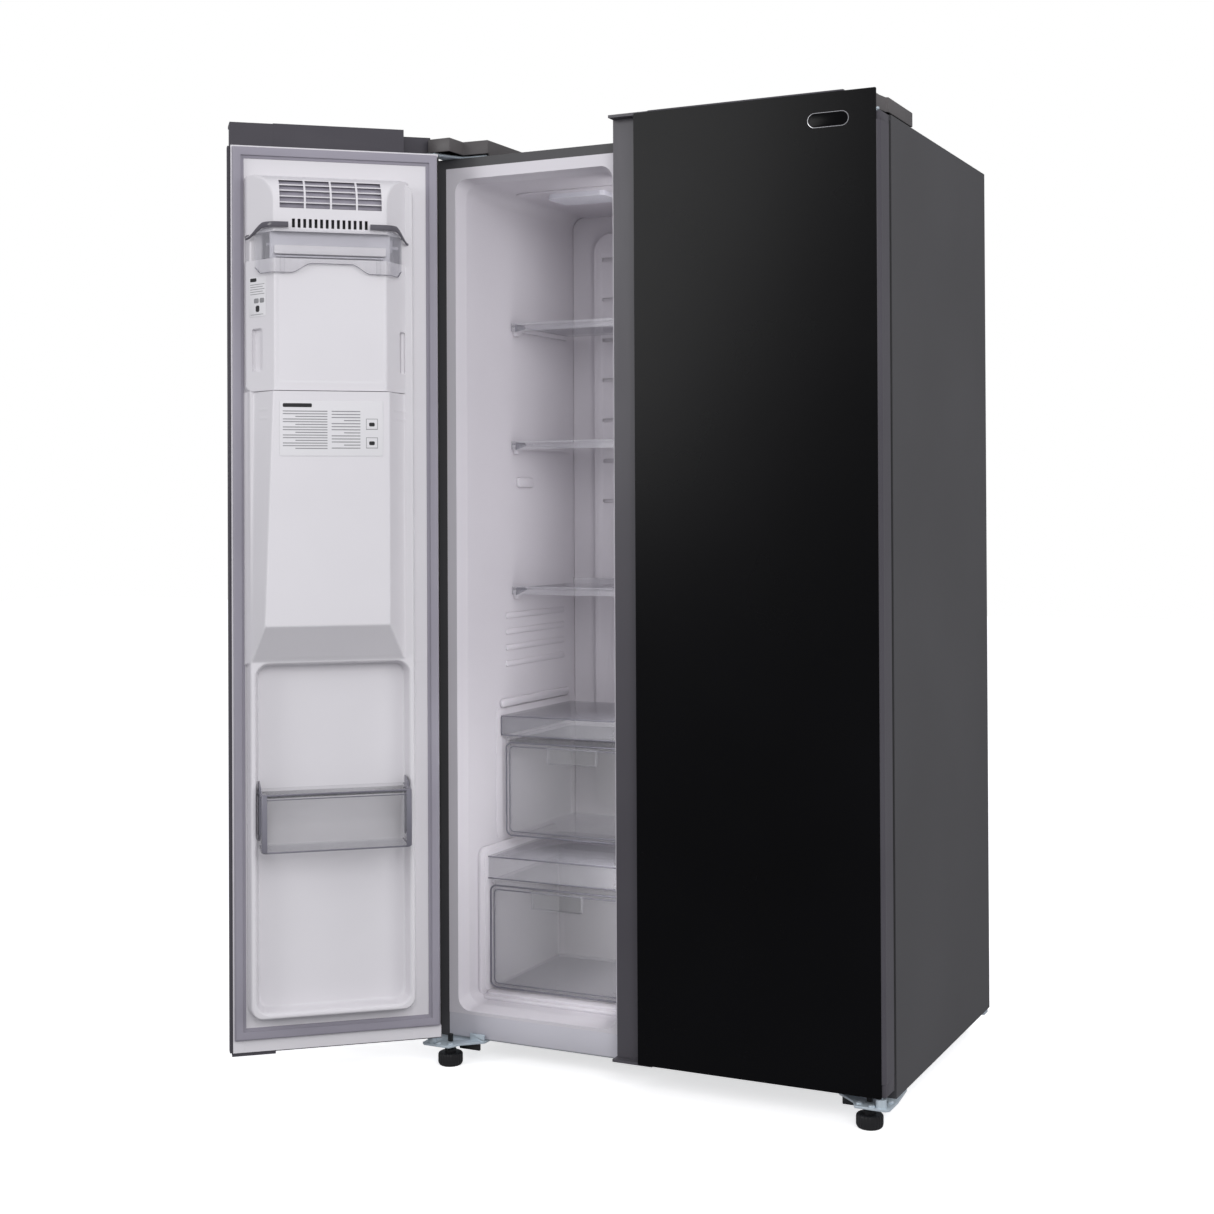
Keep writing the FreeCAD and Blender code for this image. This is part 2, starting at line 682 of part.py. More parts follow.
def interior_lamps():
    piece = Piece("interior_lamps")
    for left, right in ((d.fz_left, d.fz_right), (d.fr_left, d.fr_right)):
        middle = (left + right) / 2
        outline = rect(middle - 62, 175, middle + 62, 262, 12)
        piece.pad("XY", [outline], d.cav_top - 12, d.cav_top - 0.2)


# ---------------------------------------------------------------- hinges, feet, rollers
def top_hinges():
    low = d.cab_top
    high = low + d.plate_thick
    brackets, covers = [], []
    for side in SIDES:
        name = "left" if side < 0 else "right"
        bracket = Piece(f"hinge_plate_{name}")
        pin_x = hinge_x * side
        y = d.hinge_y
        outline = poly(
            (pin_x, y), (pin_x, y + 24), (pin_x + side, 3), (pin_x + side, 120),
            ((d.cover_in + 8) * side, 120), ((d.cover_in + 8) * side, 8),
            ((d.nose_in + 6) * side, 3), (pin_x - 14 * side, y - 2), (pin_x - 3 * side, y - 2),
        )
        bracket.pad("XY", [outline], low, high)
        bracket.pad("XY", [disc(pin_x, y, d.eye_r)], low, high)
        bracket.pad("XY", [disc(pin_x, y, d.pin_r)], low - 17, low + 1)
        brackets.append(bracket.body)
        cover = Piece(f"hinge_cover_{name}")
        cover_outline = poly(
            (pin_x, y - 4), (pin_x, y + 22), (pin_x + 4 * side, -4), (pin_x + 8 * side, -2),
            (pin_x + 8 * side, d.cover_back), (d.cover_in * side, d.cover_back),
            (d.cover_in * side, -2), (d.nose_in * side, -5), (d.nose_in * side, y - 4),
        )
        cover.pad("XY", [cover_outline], high + 0.5, d.cover_top)
        wall = 2.5 * side
        room = poly(
            (pin_x - wall, y - 1.5), (pin_x - wall, y + 22), (pin_x + 4 * side - wall, -1.5),
            (pin_x + 8 * side - wall, 0.5), (pin_x + 8 * side - wall, d.cover_back - 2.5),
            (d.cover_in * side + wall, d.cover_back - 2.5), (d.cover_in * side + wall, 0.5),
            (d.nose_in * side + wall, -2.5), (d.nose_in * side + wall, y - 1.5),
        )
        cover.cut("XY", [room], high, d.cover_top - 2.5)
        skirt_y = 4
        skirt = rect(d.cover_in * side, skirt_y, (d.cover_in + 2.5) * side, d.cover_back)
        cover.pad("XY", [skirt], low + 0.2, high + 1)
        covers.append(cover.body)
    for piece in brackets + covers:
        NODES.pop(piece.Label)
    group("top_hinge_brackets", brackets)
    group("hinge_covers", covers)


def bottom_hinges():
    """Plates bolted under the cabinet, each with an upright pin and a threaded hole for a foot."""
    high = d.cab_low
    low = high - d.plate_thick
    parts = []
    for side in SIDES:
        name = "left" if side < 0 else "right"
        piece = Piece(f"bottom_plate_{name}")
        pin_x = hinge_x * side
        foot_x = d.foot_x * side
        outline = poly(
            (d.bottom_arm * side, 60), (half_wide * side, 60), ((half_wide + 6) * side, -10),
            ((half_wide + 6) * side, -58), (half_wide * side, -64), ((d.foot_x - 16) * side, -64),
            ((d.foot_x - 26) * side, -40), (d.bottom_arm * side, -8),
        )
        hole = disc(foot_x, d.foot_y, d.stud_r + d.pin_play)
        piece.pad("XY", [outline, hole], low, high)
        piece.pad("XY", [disc(pin_x, d.hinge_y, 9)], high - 1, d.glass_low - 2.5)
        piece.pad("XY", [disc(pin_x, d.hinge_y, d.pin_r)], d.glass_low - 4, d.door_low + 16)
        lip = rect((d.bottom_arm + 1) * side, -9, (d.foot_x - 30) * side, -5)
        piece.pad("XY", [lip], high - 1, high + 12)
        parts.append(piece.body)
    for piece in parts:
        NODES.pop(piece.Label)
    group("bottom_hinge_brackets", parts)


def front_feet():
    for side in SIDES:
        piece = Piece("front_foot_left" if side < 0 else "front_foot_right")
        r, top = d.foot_r, d.foot_high
        piece.turn(poly(
            (0, 0), (r - 5, 0), (r - 2, 2), (r - 2, 7), (r, 9), (r, top - 3), (r - 3, top),
            (d.stud_r + 6, top), (d.stud_r + 5, top + 6), (d.stud_r, top + 6),
            (d.stud_r, d.glass_low - 3), (0, d.glass_low - 3),
        ), d.foot_x * side, d.foot_y)
        piece.cut("XY", [disc(r + 1.5, 0, 3.2)], 7, top + 1)
        piece.repeat_round("Z", 14)


def rear_rollers():
    axles = []
    for side in SIDES:
        name = "rear_roller_left" if side < 0 else "rear_roller_right"
        x = d.roller_x * side
        piece = Piece(name)
        half = d.roller_wide / 2
        piece.pad("YZ", [disc(0, 0, d.roller_r), disc(0, 0, d.axle_r + d.pin_play)], -half, half)
        groove = [disc(0, 0, d.roller_r + 1), disc(0, 0, d.roller_r - 2)]
        piece.cut("YZ", groove, -2, 2)
        piece.place(x, d.roller_y, d.roller_r)
        reach = half + 6
        axles.append(rod((x - reach, d.roller_y, d.roller_r), d.axle_r, reach * 2, "x"))
    group("roller_axles", axles)


# ---------------------------------------------------------------- doors
class Door:
    """Places on one door, with u counted from the cabinet's side towards the free edge."""

    def __init__(self, name, side, wide, swung):
        self.name = name
        self.side = side
        self.wide = wide
        self.swung = swung

    def x(self, u):
        return (half_wide - u) * self.side

    def rect(self, u0, z0, u1, z1, radius=None):
        return rect(self.x(size(u0)), z0, self.x(size(u1)), z1, radius)

    def piece(self, suffix):
        return Piece(f"{self.name}_{suffix}", self.swung)


FREEZER = Door("freezer_door", -1, d.fz_door, True)
FRIDGE = Door("fridge_door", 1, d.fr_door, False)


def door_glass(door):
    piece = door.piece("glass")
    face = door.rect(d.glass_inset, d.glass_low, door.wide - d.handle_gap, d.glass_top, 1.5)
    outlines = [face]
    if door is FREEZER:
        outlines.append(recess_outline(d.recess_wall))
    piece.pad("XZ", outlines, d.glass_front, d.glass_back)


def door_sides(door):
    """The hinge side profile, the handle recess profile and the two end caps."""
    front, back, rim = d.glass_back, d.door_back, 2.9
    profile = door.piece("side_profile")
    outer = poly(
        (door.x(size(0)), back), (door.x(size(0)), front + 3), (door.x(size(1.6)), front - 0.6),
        (door.x(size(5)), front - rim), (door.x(d.side_wall), front - rim),
        (door.x(d.side_wall), back),
    )
    profile.pad("XY", [outer], d.cap_low, d.cap_high)
    root = door.wide - d.handle_root
    lip = root + d.handle_lip
    trim = door.piece("handle_trim")
    channel = poly(
        (door.x(root), back), (door.x(root), front), (door.x(lip), front),
        (door.x(lip), d.handle_floor), (door.x(door.wide), d.handle_floor), (door.x(door.wide), back),
    )
    trim.pad("XY", [channel], d.handle_low, d.handle_top)
    ends = ((d.handle_low, d.handle_low + d.handle_end), (d.handle_top - d.handle_end, d.handle_top))
    for low, high in ends:
        block = rect(door.x(lip - 1), front, door.x(door.wide), d.handle_floor + 1)
        trim.pad("XY", [block], low, high)
    bore = disc(door.x(d.hinge_in), d.hinge_y, d.pin_r + d.pin_play)
    wall = d.cap_wall
    low_cap = Piece(f"{door.name}_bottom_cap", door.swung)
    plan = rect(door.x(size(0)), front, door.x(root), back)
    room = rect(door.x(d.bar_start), front + wall, door.x(root - wall), back - wall)
    low_cap.pad("XY", [plan], d.door_low, d.cap_low)
    low_cap.cut("XY", [bore], d.door_low, d.door_low + 18)
    low_cap.cut("XY", [room], d.door_low + wall, d.cap_low)
    high_cap = Piece(f"{door.name}_top_cap", door.swung)
    high_cap.pad("XY", [plan], d.cap_high, d.door_top)
    bar = rect(door.x(d.bar_start), front, door.x(root), back)
    high_cap.pad("XY", [bar], d.door_top - 1, d.bar_top)
    high_cap.cut("XY", [bore], d.cap_high, d.door_top)
    room = rect(door.x(d.bar_start + wall), front + wall, door.x(root - wall), back - wall)
    high_cap.cut("XY", [room], d.cap_high, d.bar_top - wall)
    for cap in (low_cap, high_cap):
        NODES.pop(cap.body.Label)
        SWUNG.discard(cap.body.Label)
    group(f"{door.name}_caps", [low_cap.body, high_cap.body], door.swung)


def dike(door, grow):
    """The two outlines of the raised ring on a door's inside, shrunk by a wall thickness."""
    u0, u1 = d.dike_start + grow, door.wide - d.dike_end - grow
    low, top = d.dike_low + grow, d.dike_top - grow
    wide = d.dike_wide - grow * 2
    outer = door.rect(u0, low, u1, top, d.dike_round - grow)
    inner = door.rect(u0 + wide, low + wide, u1 - wide, top - wide, d.dike_round - d.dike_wide + grow)
    return [outer, inner]


def tower(piece, kind, inset, start_y):
    """The sloping bulge over the dispenser, as a loft from its foot to its face."""
    door = FREEZER
    low, top = d.tower_low + inset, d.tower_top - inset
    foot = poly(
        (door.x(d.tower_u0 + inset), low), (door.x(d.tower_u1 - inset), low),
        (door.x(d.tower_u1 - inset), top), (door.x(d.tower_u0 + inset), top),
    )
    face_low = low + d.tower_slope
    face = poly(
        (door.x(d.tower_face_u0 + inset), face_low), (door.x(d.tower_face_low_u1 - inset), face_low),
        (door.x(d.tower_face_top_u1 - inset), top), (door.x(d.tower_face_u0 + inset), top),
    )
    piece.loft(kind, foot, start_y, face, d.tower_back - inset)


def recess_outline(grow):
    return FREEZER.rect(d.recess_u0 - grow, d.recess_low - grow, d.recess_u1 + grow,
                        d.recess_top + grow, 8 + size(grow))


def door_core(door):
    """Foam, inner liner and gasket. The foam is one solid behind each hollow of the liner."""
    slab, ridge, bulge = (Piece(f"{door.name}_{name}", door.swung)
                          for name in ("slab_foam", "ridge_foam", "tower_foam"))
    for fill in (slab, ridge, bulge):
        NODES.pop(fill.body.Label)
        SWUNG.discard(fill.body.Label)
    root = door.wide - d.handle_root
    slab.pad("XZ", [door.rect(d.side_wall, d.cap_low, root, d.cap_high)], d.glass_back, d.door_back)
    sheet_back = d.door_back + d.liner
    ridge.pad("XZ", dike(door, d.dike_wall), d.door_back, d.dike_back - d.dike_wall)
    fills = [slab.body, ridge.body]
    skin = door.piece("liner")
    plate = door.rect(size(1), d.door_low + 2, door.wide - 1, d.door_top - 1)
    skin.pad("XZ", [plate], d.door_back, sheet_back)
    skin.pad("XZ", dike(door, size(0)), sheet_back, d.dike_back)
    skin.cut("XZ", dike(door, d.dike_wall), d.door_back, d.dike_back - d.dike_wall)
    if door is FREEZER:
        tower(bulge, "Additive", d.dike_wall + 0.5, d.door_back)
        hole = [recess_outline(d.recess_wall)]
        slab.cut("XZ", hole, d.glass_back - 1, d.door_back + 1)
        bulge.cut("XZ", hole, d.door_back - 1, d.recess_back + d.recess_wall)
        fills.append(bulge.body)
        tower(skin, "Additive", size(0), sheet_back)
        tower(skin, "Subtractive", d.dike_wall + 0.5, d.door_back)
    else:
        doc.removeObject(bulge.body.Name)
    group(f"{door.name}_foam", fills, door.swung)
    gasket = door.piece("gasket")
    inset, wide = d.gasket_in, d.gasket_wide
    ring = [
        door.rect(inset, d.gasket_low, door.wide - inset, d.gasket_top),
        door.rect(inset + wide, d.gasket_low + wide, door.wide - inset - wide, d.gasket_top - wide),
    ]
    gasket.pad("XZ", ring, sheet_back, d.gasket_back)
    rear = d.gasket_back.value
    hinge_side = door.x(inset).value

    def outer_rear(a, b):
        return (abs(a.y - rear) < 0.01 and abs(b.y - rear) < 0.01
                and abs(a.x - hinge_side) < 0.01 and abs(b.x - hinge_side) < 0.01)

    gasket.dress("Chamfer", 2, outer_rear)


def bin_box(piece, door, u0, u1, root_y, face_y, low, top):
    """An open door bin with a thicker rim."""
    wall = 2.5
    left, right = door.x(size(u0)), door.x(size(u1))
    left, right = sorted((left, right), key=lambda v: v.value)
    piece.pad("XY", [rect(left, root_y, right, face_y, 10)], low, top)
    piece.cut("XY", [rect(left + wall, root_y + wall, right - wall, face_y - wall, 8)],
              low + wall, top)
    rim = [rect(left - 1.2, root_y, right + 1.2, face_y + 1.5, 11),
           rect(left + wall, root_y + wall, right - wall, face_y - wall, 8)]
    piece.pad("XY", rim, top - 6, top)


def door_bins():
    inner = d.dike_start + d.dike_wide + 3
    root_y = d.door_back + d.liner + 1
    one = Piece("freezer_door_bin", True)
    bin_box(one, FREEZER, inner, FREEZER.wide - d.dike_end - d.dike_wide - 3, root_y, 76, 437, 542)
    several = Piece("fridge_door_bins")
    for low in (650, 930, 1210, 1490):
        bin_box(several, FRIDGE, inner, FRIDGE.wide - d.dike_end - d.dike_wide - 3, root_y, 96, low,
                low + 100)


# ---------------------------------------------------------------- ice maker and dispenser
def ice_plan(inset, front=0):
    """Plan outline of the ice unit: a box at the door and slanted sides to a narrower face."""
    door = FREEZER
    u0, u1 = d.ice_u0 + inset, d.ice_u1 - inset
    f0, f1 = d.ice_face_u0 + inset, d.ice_face_u1 - inset
    return poly(
        (door.x(u0), d.ice_root + inset), (door.x(u0), d.ice_knee), (door.x(f0), d.ice_face - front),
        (door.x(f1), d.ice_face - front), (door.x(u1), d.ice_knee), (door.x(u1), d.ice_root + inset),
    )


def ice_unit():
    door = FREEZER
    wall = d.ice_wall
    housing = Piece("ice_maker_housing", True)
    housing.pad("XY", [ice_plan(size(0))], d.housing_low, d.housing_top)
    housing.cut("XY", [ice_plan(wall, 3)], d.housing_low, d.housing_top - wall)
    u, front = d.ice_face_u0 + 8, d.ice_face - 6
    louvres = [door.rect(u, d.housing_top - z, u + 42, d.housing_top - z + 4, 1.9)
               for z in (14, 23, 32, 41, 50)]
    housing.cut("XZ", louvres, front, d.ice_face + 2)
    housing.repeat_line("X", 47, 4)
    u = d.ice_face_u0 + 36
    slot = door.rect(u, d.housing_low + 4, u + 4, d.housing_low + 20, 1.9)
    housing.cut("XZ", [slot], front, d.ice_face + 2)
    housing.repeat_line("X", 10, 14)
    bucket = Piece("ice_bucket", True)
    bucket.pad("XY", [ice_plan(size(1))], d.bucket_low, d.bucket_top)
    bucket.cut("XY", [ice_plan(wall + 1, 4)], d.bucket_low + wall, d.bucket_top)
    middle = (d.ice_u0 + d.ice_u1) / 2
    outlet = rect(door.x(middle - 22), d.auger_y - 22, door.x(middle + 22), d.auger_y + 22, 6)
    bucket.cut("XY", [outlet], d.bucket_low - 1, d.bucket_low + wall + 1)
    for u0, u1 in ((d.ice_u0 + 1, d.ice_u0 + 1 + wall), (d.ice_u1 - 1 - wall, d.ice_u1 - 1)):
        low, high = sorted((door.x(u0), door.x(u1)), key=lambda v: v.value)
        slot = rect(-6, d.bucket_low + 20, 11, d.bucket_low + 95, 5)
        bucket.cut("YZ", [slot], low - 1, high + 1)
    shaft_low, shaft_high = door.x(d.ice_u0 + 27), door.x(d.ice_u1 - 34)
    auger = Piece("ice_auger", True)
    length = shaft_high - shaft_low
    auger.pad("YZ", [disc(0, 0, 4)], 0, length)
    for i in range(9):
        start = length * (0.1 * i + 0.07)
        reach, half = d.auger_r, 6
        blade = (rect(-half, 0, half, reach, 3), rect(-half, -reach, half, 0, 3),
                 rect(0, -half, reach, half, 3), rect(-reach, -half, 0, half, 3))[i % 4]
        auger.pad("YZ", [blade], start, start + 6)
    auger_offset = (shaft_low, d.auger_y, d.auger_z)
    tray_half, tray_deep, tray_wall = 27, 24, 1.8
    tray = Piece("ice_tray", True)
    tray_low, tray_high = door.x(d.ice_u0 + 30), door.x(d.ice_u1 - 30)
    span = tray_high - tray_low
    tray.pad("YZ", [poly((-tray_half, 10), (-tray_half + 6, -tray_deep / 2),
                         (tray_half - 6, -tray_deep / 2), (tray_half, 10))], 0, span)
    cells = 6
    pitch = span / cells
    pockets = [rect(tray_wall, side * tray_wall, pitch - tray_wall, side * (tray_half - 8), 3)
               for side in SIDES]
    tray.cut("XY", pockets, -9, 11)
    tray.repeat_line("X", pitch.value, cells)
    tray.pad("YZ", [disc(0, 0, 3)], -14, 1)
    tray.pad("YZ", [disc(0, 0, 3)], span - 1, span + 14)
    tray_offset = (tray_low, d.tray_y, d.tray_z)
    guard = Piece("ice_guard", True)
    gap, thick = 3, 2.5
    f0, f1 = d.ice_face_u0, d.ice_face_u1
    outer_y = d.ice_face + gap + thick
    band = poly(
        (door.x(f0 - 28), 50), (door.x(f0 - 4), outer_y), (door.x(f1 + 4), outer_y),
        (door.x(f1 + 24), 50), (door.x(f1 + 20), 50), (door.x(f1 + 2), outer_y - thick),
        (door.x(f0 - 2), outer_y - thick), (door.x(f0 - 24), 50),
    )
    guard.pad("XY", [band], d.guard_low, d.guard_top)
    arch = door.rect(f0 + 30, d.guard_low - 20, f1 - 30, d.guard_low + 24, 18)
    guard.cut("XZ", [arch], outer_y - thick - 1, outer_y + 1)
    pivot = disc(outer_y - thick / 2, d.guard_top - 3, 2)
    for u0, u1 in ((f0 - 9, f0), (f1, f1 + 9)):
        low, high = sorted((door.x(u0), door.x(u1)), key=lambda v: v.value)
        guard.pad("YZ", [pivot], low, high)
    return {"ice_auger": auger_offset, "ice_tray": tray_offset}


def dispenser():
    door = FREEZER
    bezel = Piece("dispenser_bezel", True)
    plate = door.rect(d.bezel_u0, d.bezel_low, d.bezel_u1, d.bezel_top, 9)
    wall = d.recess_wall
    bezel.pad("XZ", [plate], d.bezel_front, d.glass_front)
    bezel.pad("XZ", [recess_outline(wall)], d.glass_front, d.recess_back + wall)
    bezel.cut("XZ", [recess_outline(size(0))], d.bezel_front, d.recess_back)
    middle = (d.recess_u0 + d.recess_u1) / 2
    spout = disc(door.x(middle), -22, 15)
    bezel.pad("XY", [spout, disc(door.x(middle), -22, 12)], d.recess_top - 16, d.recess_top + 1)
    paddle = Piece("dispenser_paddle", True)
    left, right = sorted((door.x(d.recess_u0 + 1), door.x(d.recess_u1 - 1)), key=lambda v: v.value)
    centre = door.x(middle)
    paddle.pad("YZ", [disc(0, 0, 3)], left - centre, right - centre)
    paddle.pad("XZ", [rect(-20, -104, 20, 0, 5)], -2, 2)
    tray = Piece("drip_tray", True)
    left, right = left + 8, right - 8
    tray.pad("XY", [rect(left, d.glass_front + 2, right, d.recess_back - 1, 6)],
             d.recess_low + 0.5, d.recess_low + 11)
    groove = rect(left + 8, -50, right - 8, -46, 1.9)
    tray.cut("XY", [groove], d.recess_low + 4, d.recess_low + 12)
    tray.repeat_line("Y", 8, 9)
    return {"dispenser_paddle": (centre, size(4), d.recess_top - 22)}


def cord_inlet():
    """The mains cord's gland in the machine cover's plane, at the lower right of the back."""
    keep("cord_inlet", fuse(
        rod((360, back_y + 1, 262), 13, 5, "y"), rod((360, back_y - 8, 262), 7, 9.5, "y")))


# ---------------------------------------------------------------- assembly
def swing(offsets):
    """Turn the freezer door's sub-parts open about the pins and shift everything to the frame."""
    for label, thing in NODES.items():
        along = [size(v) for v in offsets.get(label, (0, 0, 0))]
        shift = {"x": "Dims.origin_x", "y": "Dims.origin_y"}
        if label in SWUNG:
            thing.Placement = Placement(Vector(), Rotation(Vector(0, 0, -1), 1))
            thing.setExpression("Placement.Rotation.Angle", "Dims.door_open")
            pin_x = -hinge_x
            arm_x, arm_y = pin_x - along[0], d.hinge_y - along[1]
            cosine, sine = "cos(Dims.door_open * 1 deg)", "sin(Dims.door_open * 1 deg)"
            x = f"{pin_x.formula} - {arm_x.formula} * {cosine} - {arm_y.formula} * {sine}"
            y = f"{d.hinge_y.formula} + {arm_x.formula} * {sine} - {arm_y.formula} * {cosine}"
        else:
            places = dict(thing.ExpressionEngine)
            x = places.get(".Placement.Base.x") or places.get("Placement.Base.x") or "0"
            y = places.get(".Placement.Base.y") or places.get("Placement.Base.y") or "0"
        thing.setExpression("Placement.Base.x", f"{x} - {shift['x']}")
        thing.setExpression("Placement.Base.y", f"{y} - {shift['y']}")
        if label in offsets:
            thing.setExpression("Placement.Base.z", along[2].formula)


def centre_frame():
    """Put the origin under the middle of the whole footprint, door open as it stands."""
    doc.recompute()
    whole = FreeCAD.BoundBox()
    for thing in NODES.values():
        whole.add(thing.Shape.BoundBox)
    sheet.set(sheet.getCellFromAlias("origin_x"), f"{whole.Center.x:.4f}")
    sheet.set(sheet.getCellFromAlias("origin_y"), f"{whole.Center.y:.4f}")
    doc.recompute()


def check_and_write():
    for thing in doc.Objects:
        bad = {"Invalid", "Error"} & set(thing.State)
        if bad:
            raise RuntimeError(f"{thing.Label} is {thing.State}")
    for label, thing in NODES.items():
        shape = thing.Shape
        if shape.isNull() or not shape.isValid() or not shape.Solids:
            raise RuntimeError(f"{label} has no valid solid")
    os.makedirs("parts", exist_ok=True)
    for label, thing in NODES.items():
        thing.Shape.exportStep(f"parts/{label}.step")


cabinet_shell()
base_plate()
liners()
cabinet_foam()
cabinet_panels()
machine_space()
fans()
back_ducts()
shelves()
drawers()
drawer_lids()
interior_lamps()
top_hinges()
bottom_hinges()
front_feet()
rear_rollers()
for each in (FREEZER, FRIDGE):
    door_glass(each)
    door_sides(each)
    door_core(each)
door_bins()
moved = {}
moved.update(ice_unit())
moved.update(dispenser())
cord_inlet()
swing(moved)
centre_frame()
check_and_write()
print(len(NODES), "sub-parts written")
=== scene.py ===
"""Looks for the side by side refrigerator: finishes for the CAD nodes, moulded door liners
and fine detail."""

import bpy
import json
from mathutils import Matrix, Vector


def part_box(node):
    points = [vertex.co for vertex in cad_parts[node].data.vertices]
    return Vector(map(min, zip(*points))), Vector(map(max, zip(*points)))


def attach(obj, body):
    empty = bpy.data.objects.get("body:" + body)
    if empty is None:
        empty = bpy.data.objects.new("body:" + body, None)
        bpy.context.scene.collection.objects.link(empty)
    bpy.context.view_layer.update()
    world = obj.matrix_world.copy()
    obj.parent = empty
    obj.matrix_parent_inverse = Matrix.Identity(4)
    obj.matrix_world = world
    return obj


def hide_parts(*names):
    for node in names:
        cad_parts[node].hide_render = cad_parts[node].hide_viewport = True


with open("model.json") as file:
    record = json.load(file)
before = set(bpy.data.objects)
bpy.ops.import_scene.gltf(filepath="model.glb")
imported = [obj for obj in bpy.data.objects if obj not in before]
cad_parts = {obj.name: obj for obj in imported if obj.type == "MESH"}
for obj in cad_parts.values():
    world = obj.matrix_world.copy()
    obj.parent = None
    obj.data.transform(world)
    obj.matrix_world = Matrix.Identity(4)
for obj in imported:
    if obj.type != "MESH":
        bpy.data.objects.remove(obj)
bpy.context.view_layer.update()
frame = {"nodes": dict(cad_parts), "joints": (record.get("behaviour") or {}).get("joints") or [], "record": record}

import json
import math

import bmesh
import bpy
import numpy as np
from mathutils import Matrix, Vector

MM = 0.001
NODES = frame["nodes"]
shell_low, shell_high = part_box("cabinet_shell")
CENTRE_X = (shell_low.x + shell_high.x) / 2
FRONT_Y = shell_low.y
HALF_WIDE = (shell_high.x - shell_low.x) / 2 / MM
HINGE = next(j for j in frame["joints"] if j["name"] == "freezer_door_hinge")
DOOR_OPEN = math.radians(-HINGE["range_deg"][0])
PIN = Vector(HINGE["pos_m"])
WELD_M = 1e-6
SIDES = ((-1, "left"), (1, "right"))


# ---------------------------------------------------------------- places, in millimetres
def at(x, y, z):
    """A point from the cabinet's middle, its front plane and the floor."""
    return Vector((CENTRE_X + x * MM, FRONT_Y + y * MM, z * MM))


def on_fridge_door(u, y, z):
    """A point on the closed fridge door, with u from its hinge side."""
    return at(HALF_WIDE - u, y, z)


def on_freezer_door(u, y, z):
    """A point on the open freezer door, given as if it were closed, with u from its hinge side."""
    closed = at(u - HALF_WIDE, y, z) - Vector((PIN.x, PIN.y, 0))
    return Matrix.Rotation(-DOOR_OPEN, 3, "Z") @ closed + Vector((PIN.x, PIN.y, 0))


# ---------------------------------------------------------------- materials
def shader(name):
    material = bpy.data.materials.new(name)
    material.use_nodes = True
    tree = material.node_tree
    return material, tree, tree.nodes["Principled BSDF"]


def put(node, **values):
    """Sets a shader node's inputs; an underscore in the name of an input stands for a space."""
    for key, value in values.items():
        node.inputs[key.replace("_", " ")].default_value = value
    return node


def add(tree, kind, **values):
    """A new shader node with some of its inputs set."""
    return put(tree.nodes.new(f"ShaderNode{kind}"), **values)


def textured(name, dark, light, roughness, scale, bump=0.05, metallic=0.0, specular=0.5,
             stretch=(1, 1, 1), coat=0.0, rough_swing=0.06):
    """A finish whose colour, roughness and surface vary with noise in the object's own space."""
    material, tree, main = shader(name)
    link = tree.links.new
    place = add(tree, "TexCoord")
    mapping = add(tree, "Mapping", Scale=stretch)
    link(place.outputs["Object"], mapping.inputs["Vector"])
    fine = add(tree, "TexNoise", Scale=scale, Detail=6)
    link(mapping.outputs["Vector"], fine.inputs["Vector"])
    broad = add(tree, "TexNoise", Scale=3.0, Detail=3)
    link(place.outputs["Object"], broad.inputs["Vector"])
    colours = add(tree, "ValToRGB")
    ends = colours.color_ramp.elements
    ends[0].position, ends[1].position = 0.3, 0.7
    ends[0].color, ends[1].color = (*dark, 1), (*light, 1)
    link(broad.outputs["Fac"], colours.inputs["Fac"])
    link(colours.outputs["Color"], main.inputs["Base Color"])
    rough = add(tree, "MapRange", To_Min=max(0.0, roughness - rough_swing),
                To_Max=min(1.0, roughness + rough_swing))
    link(fine.outputs["Fac"], rough.inputs["Value"])
    link(rough.outputs["Result"], main.inputs["Roughness"])
    relief = add(tree, "Bump", Strength=bump, Distance=0.0004)
    link(fine.outputs["Fac"], relief.inputs["Height"])
    link(relief.outputs["Normal"], main.inputs["Normal"])
    put(main, Metallic=metallic, Specular_IOR_Level=specular, Coat_Weight=coat)
    return material


def clear(name, tint, edge_tint, thin, thick):
    """Clear moulded plastic or glass: see-through face on, denser and bluish towards its edges."""
    material, tree, main = shader(name)
    link = tree.links.new
    facing = add(tree, "LayerWeight", Blend=0.35)
    density = add(tree, "MapRange", To_Min=thin, To_Max=thick)
    link(facing.outputs["Facing"], density.inputs["Value"])
    link(density.outputs["Result"], main.inputs["Alpha"])
    place = add(tree, "TexCoord")
    ripple = add(tree, "TexNoise", Scale=14)
    link(place.outputs["Object"], ripple.inputs["Vector"])
    blend = add(tree, "Mix")
    blend.data_type = "RGBA"
    put(blend, A=(*tint, 1), B=(*edge_tint, 1))
    link(facing.outputs["Facing"], blend.inputs["Factor"])
    link(blend.outputs["Result"], main.inputs["Base Color"])
    relief = add(tree, "Bump", Strength=0.04, Distance=0.002)
    link(ripple.outputs["Fac"], relief.inputs["Height"])
    link(relief.outputs["Normal"], main.inputs["Normal"])
    put(main, Roughness=0.06, Specular_IOR_Level=0.6)
    return material


WHITE = textured("white_liner", (0.655, 0.637, 0.665), (0.695, 0.677, 0.705), 0.34, 900, 0.05)
WALL = textured("cabinet_liner", (0.60, 0.575, 0.615), (0.64, 0.615, 0.655), 0.38, 900, 0.05)
PALE = textured("pale_plastic", (0.52, 0.51, 0.56), (0.58, 0.57, 0.62), 0.45, 700, 0.08)
STEEL = textured("painted_steel", (0.058, 0.057, 0.060), (0.066, 0.065, 0.069), 0.42, 1400, 0.22,
                 specular=0.35)
GLASS = textured("black_glass", (0.0012, 0.0012, 0.0016), (0.0020, 0.0020, 0.0026), 0.27, 5, 0.01,
                 specular=0.14, rough_swing=0.02)
TRIM = textured("grey_trim", (0.060, 0.056, 0.066), (0.074, 0.070, 0.081), 0.36, 500, 0.12,
                stretch=(1, 1, 0.02), specular=0.4)
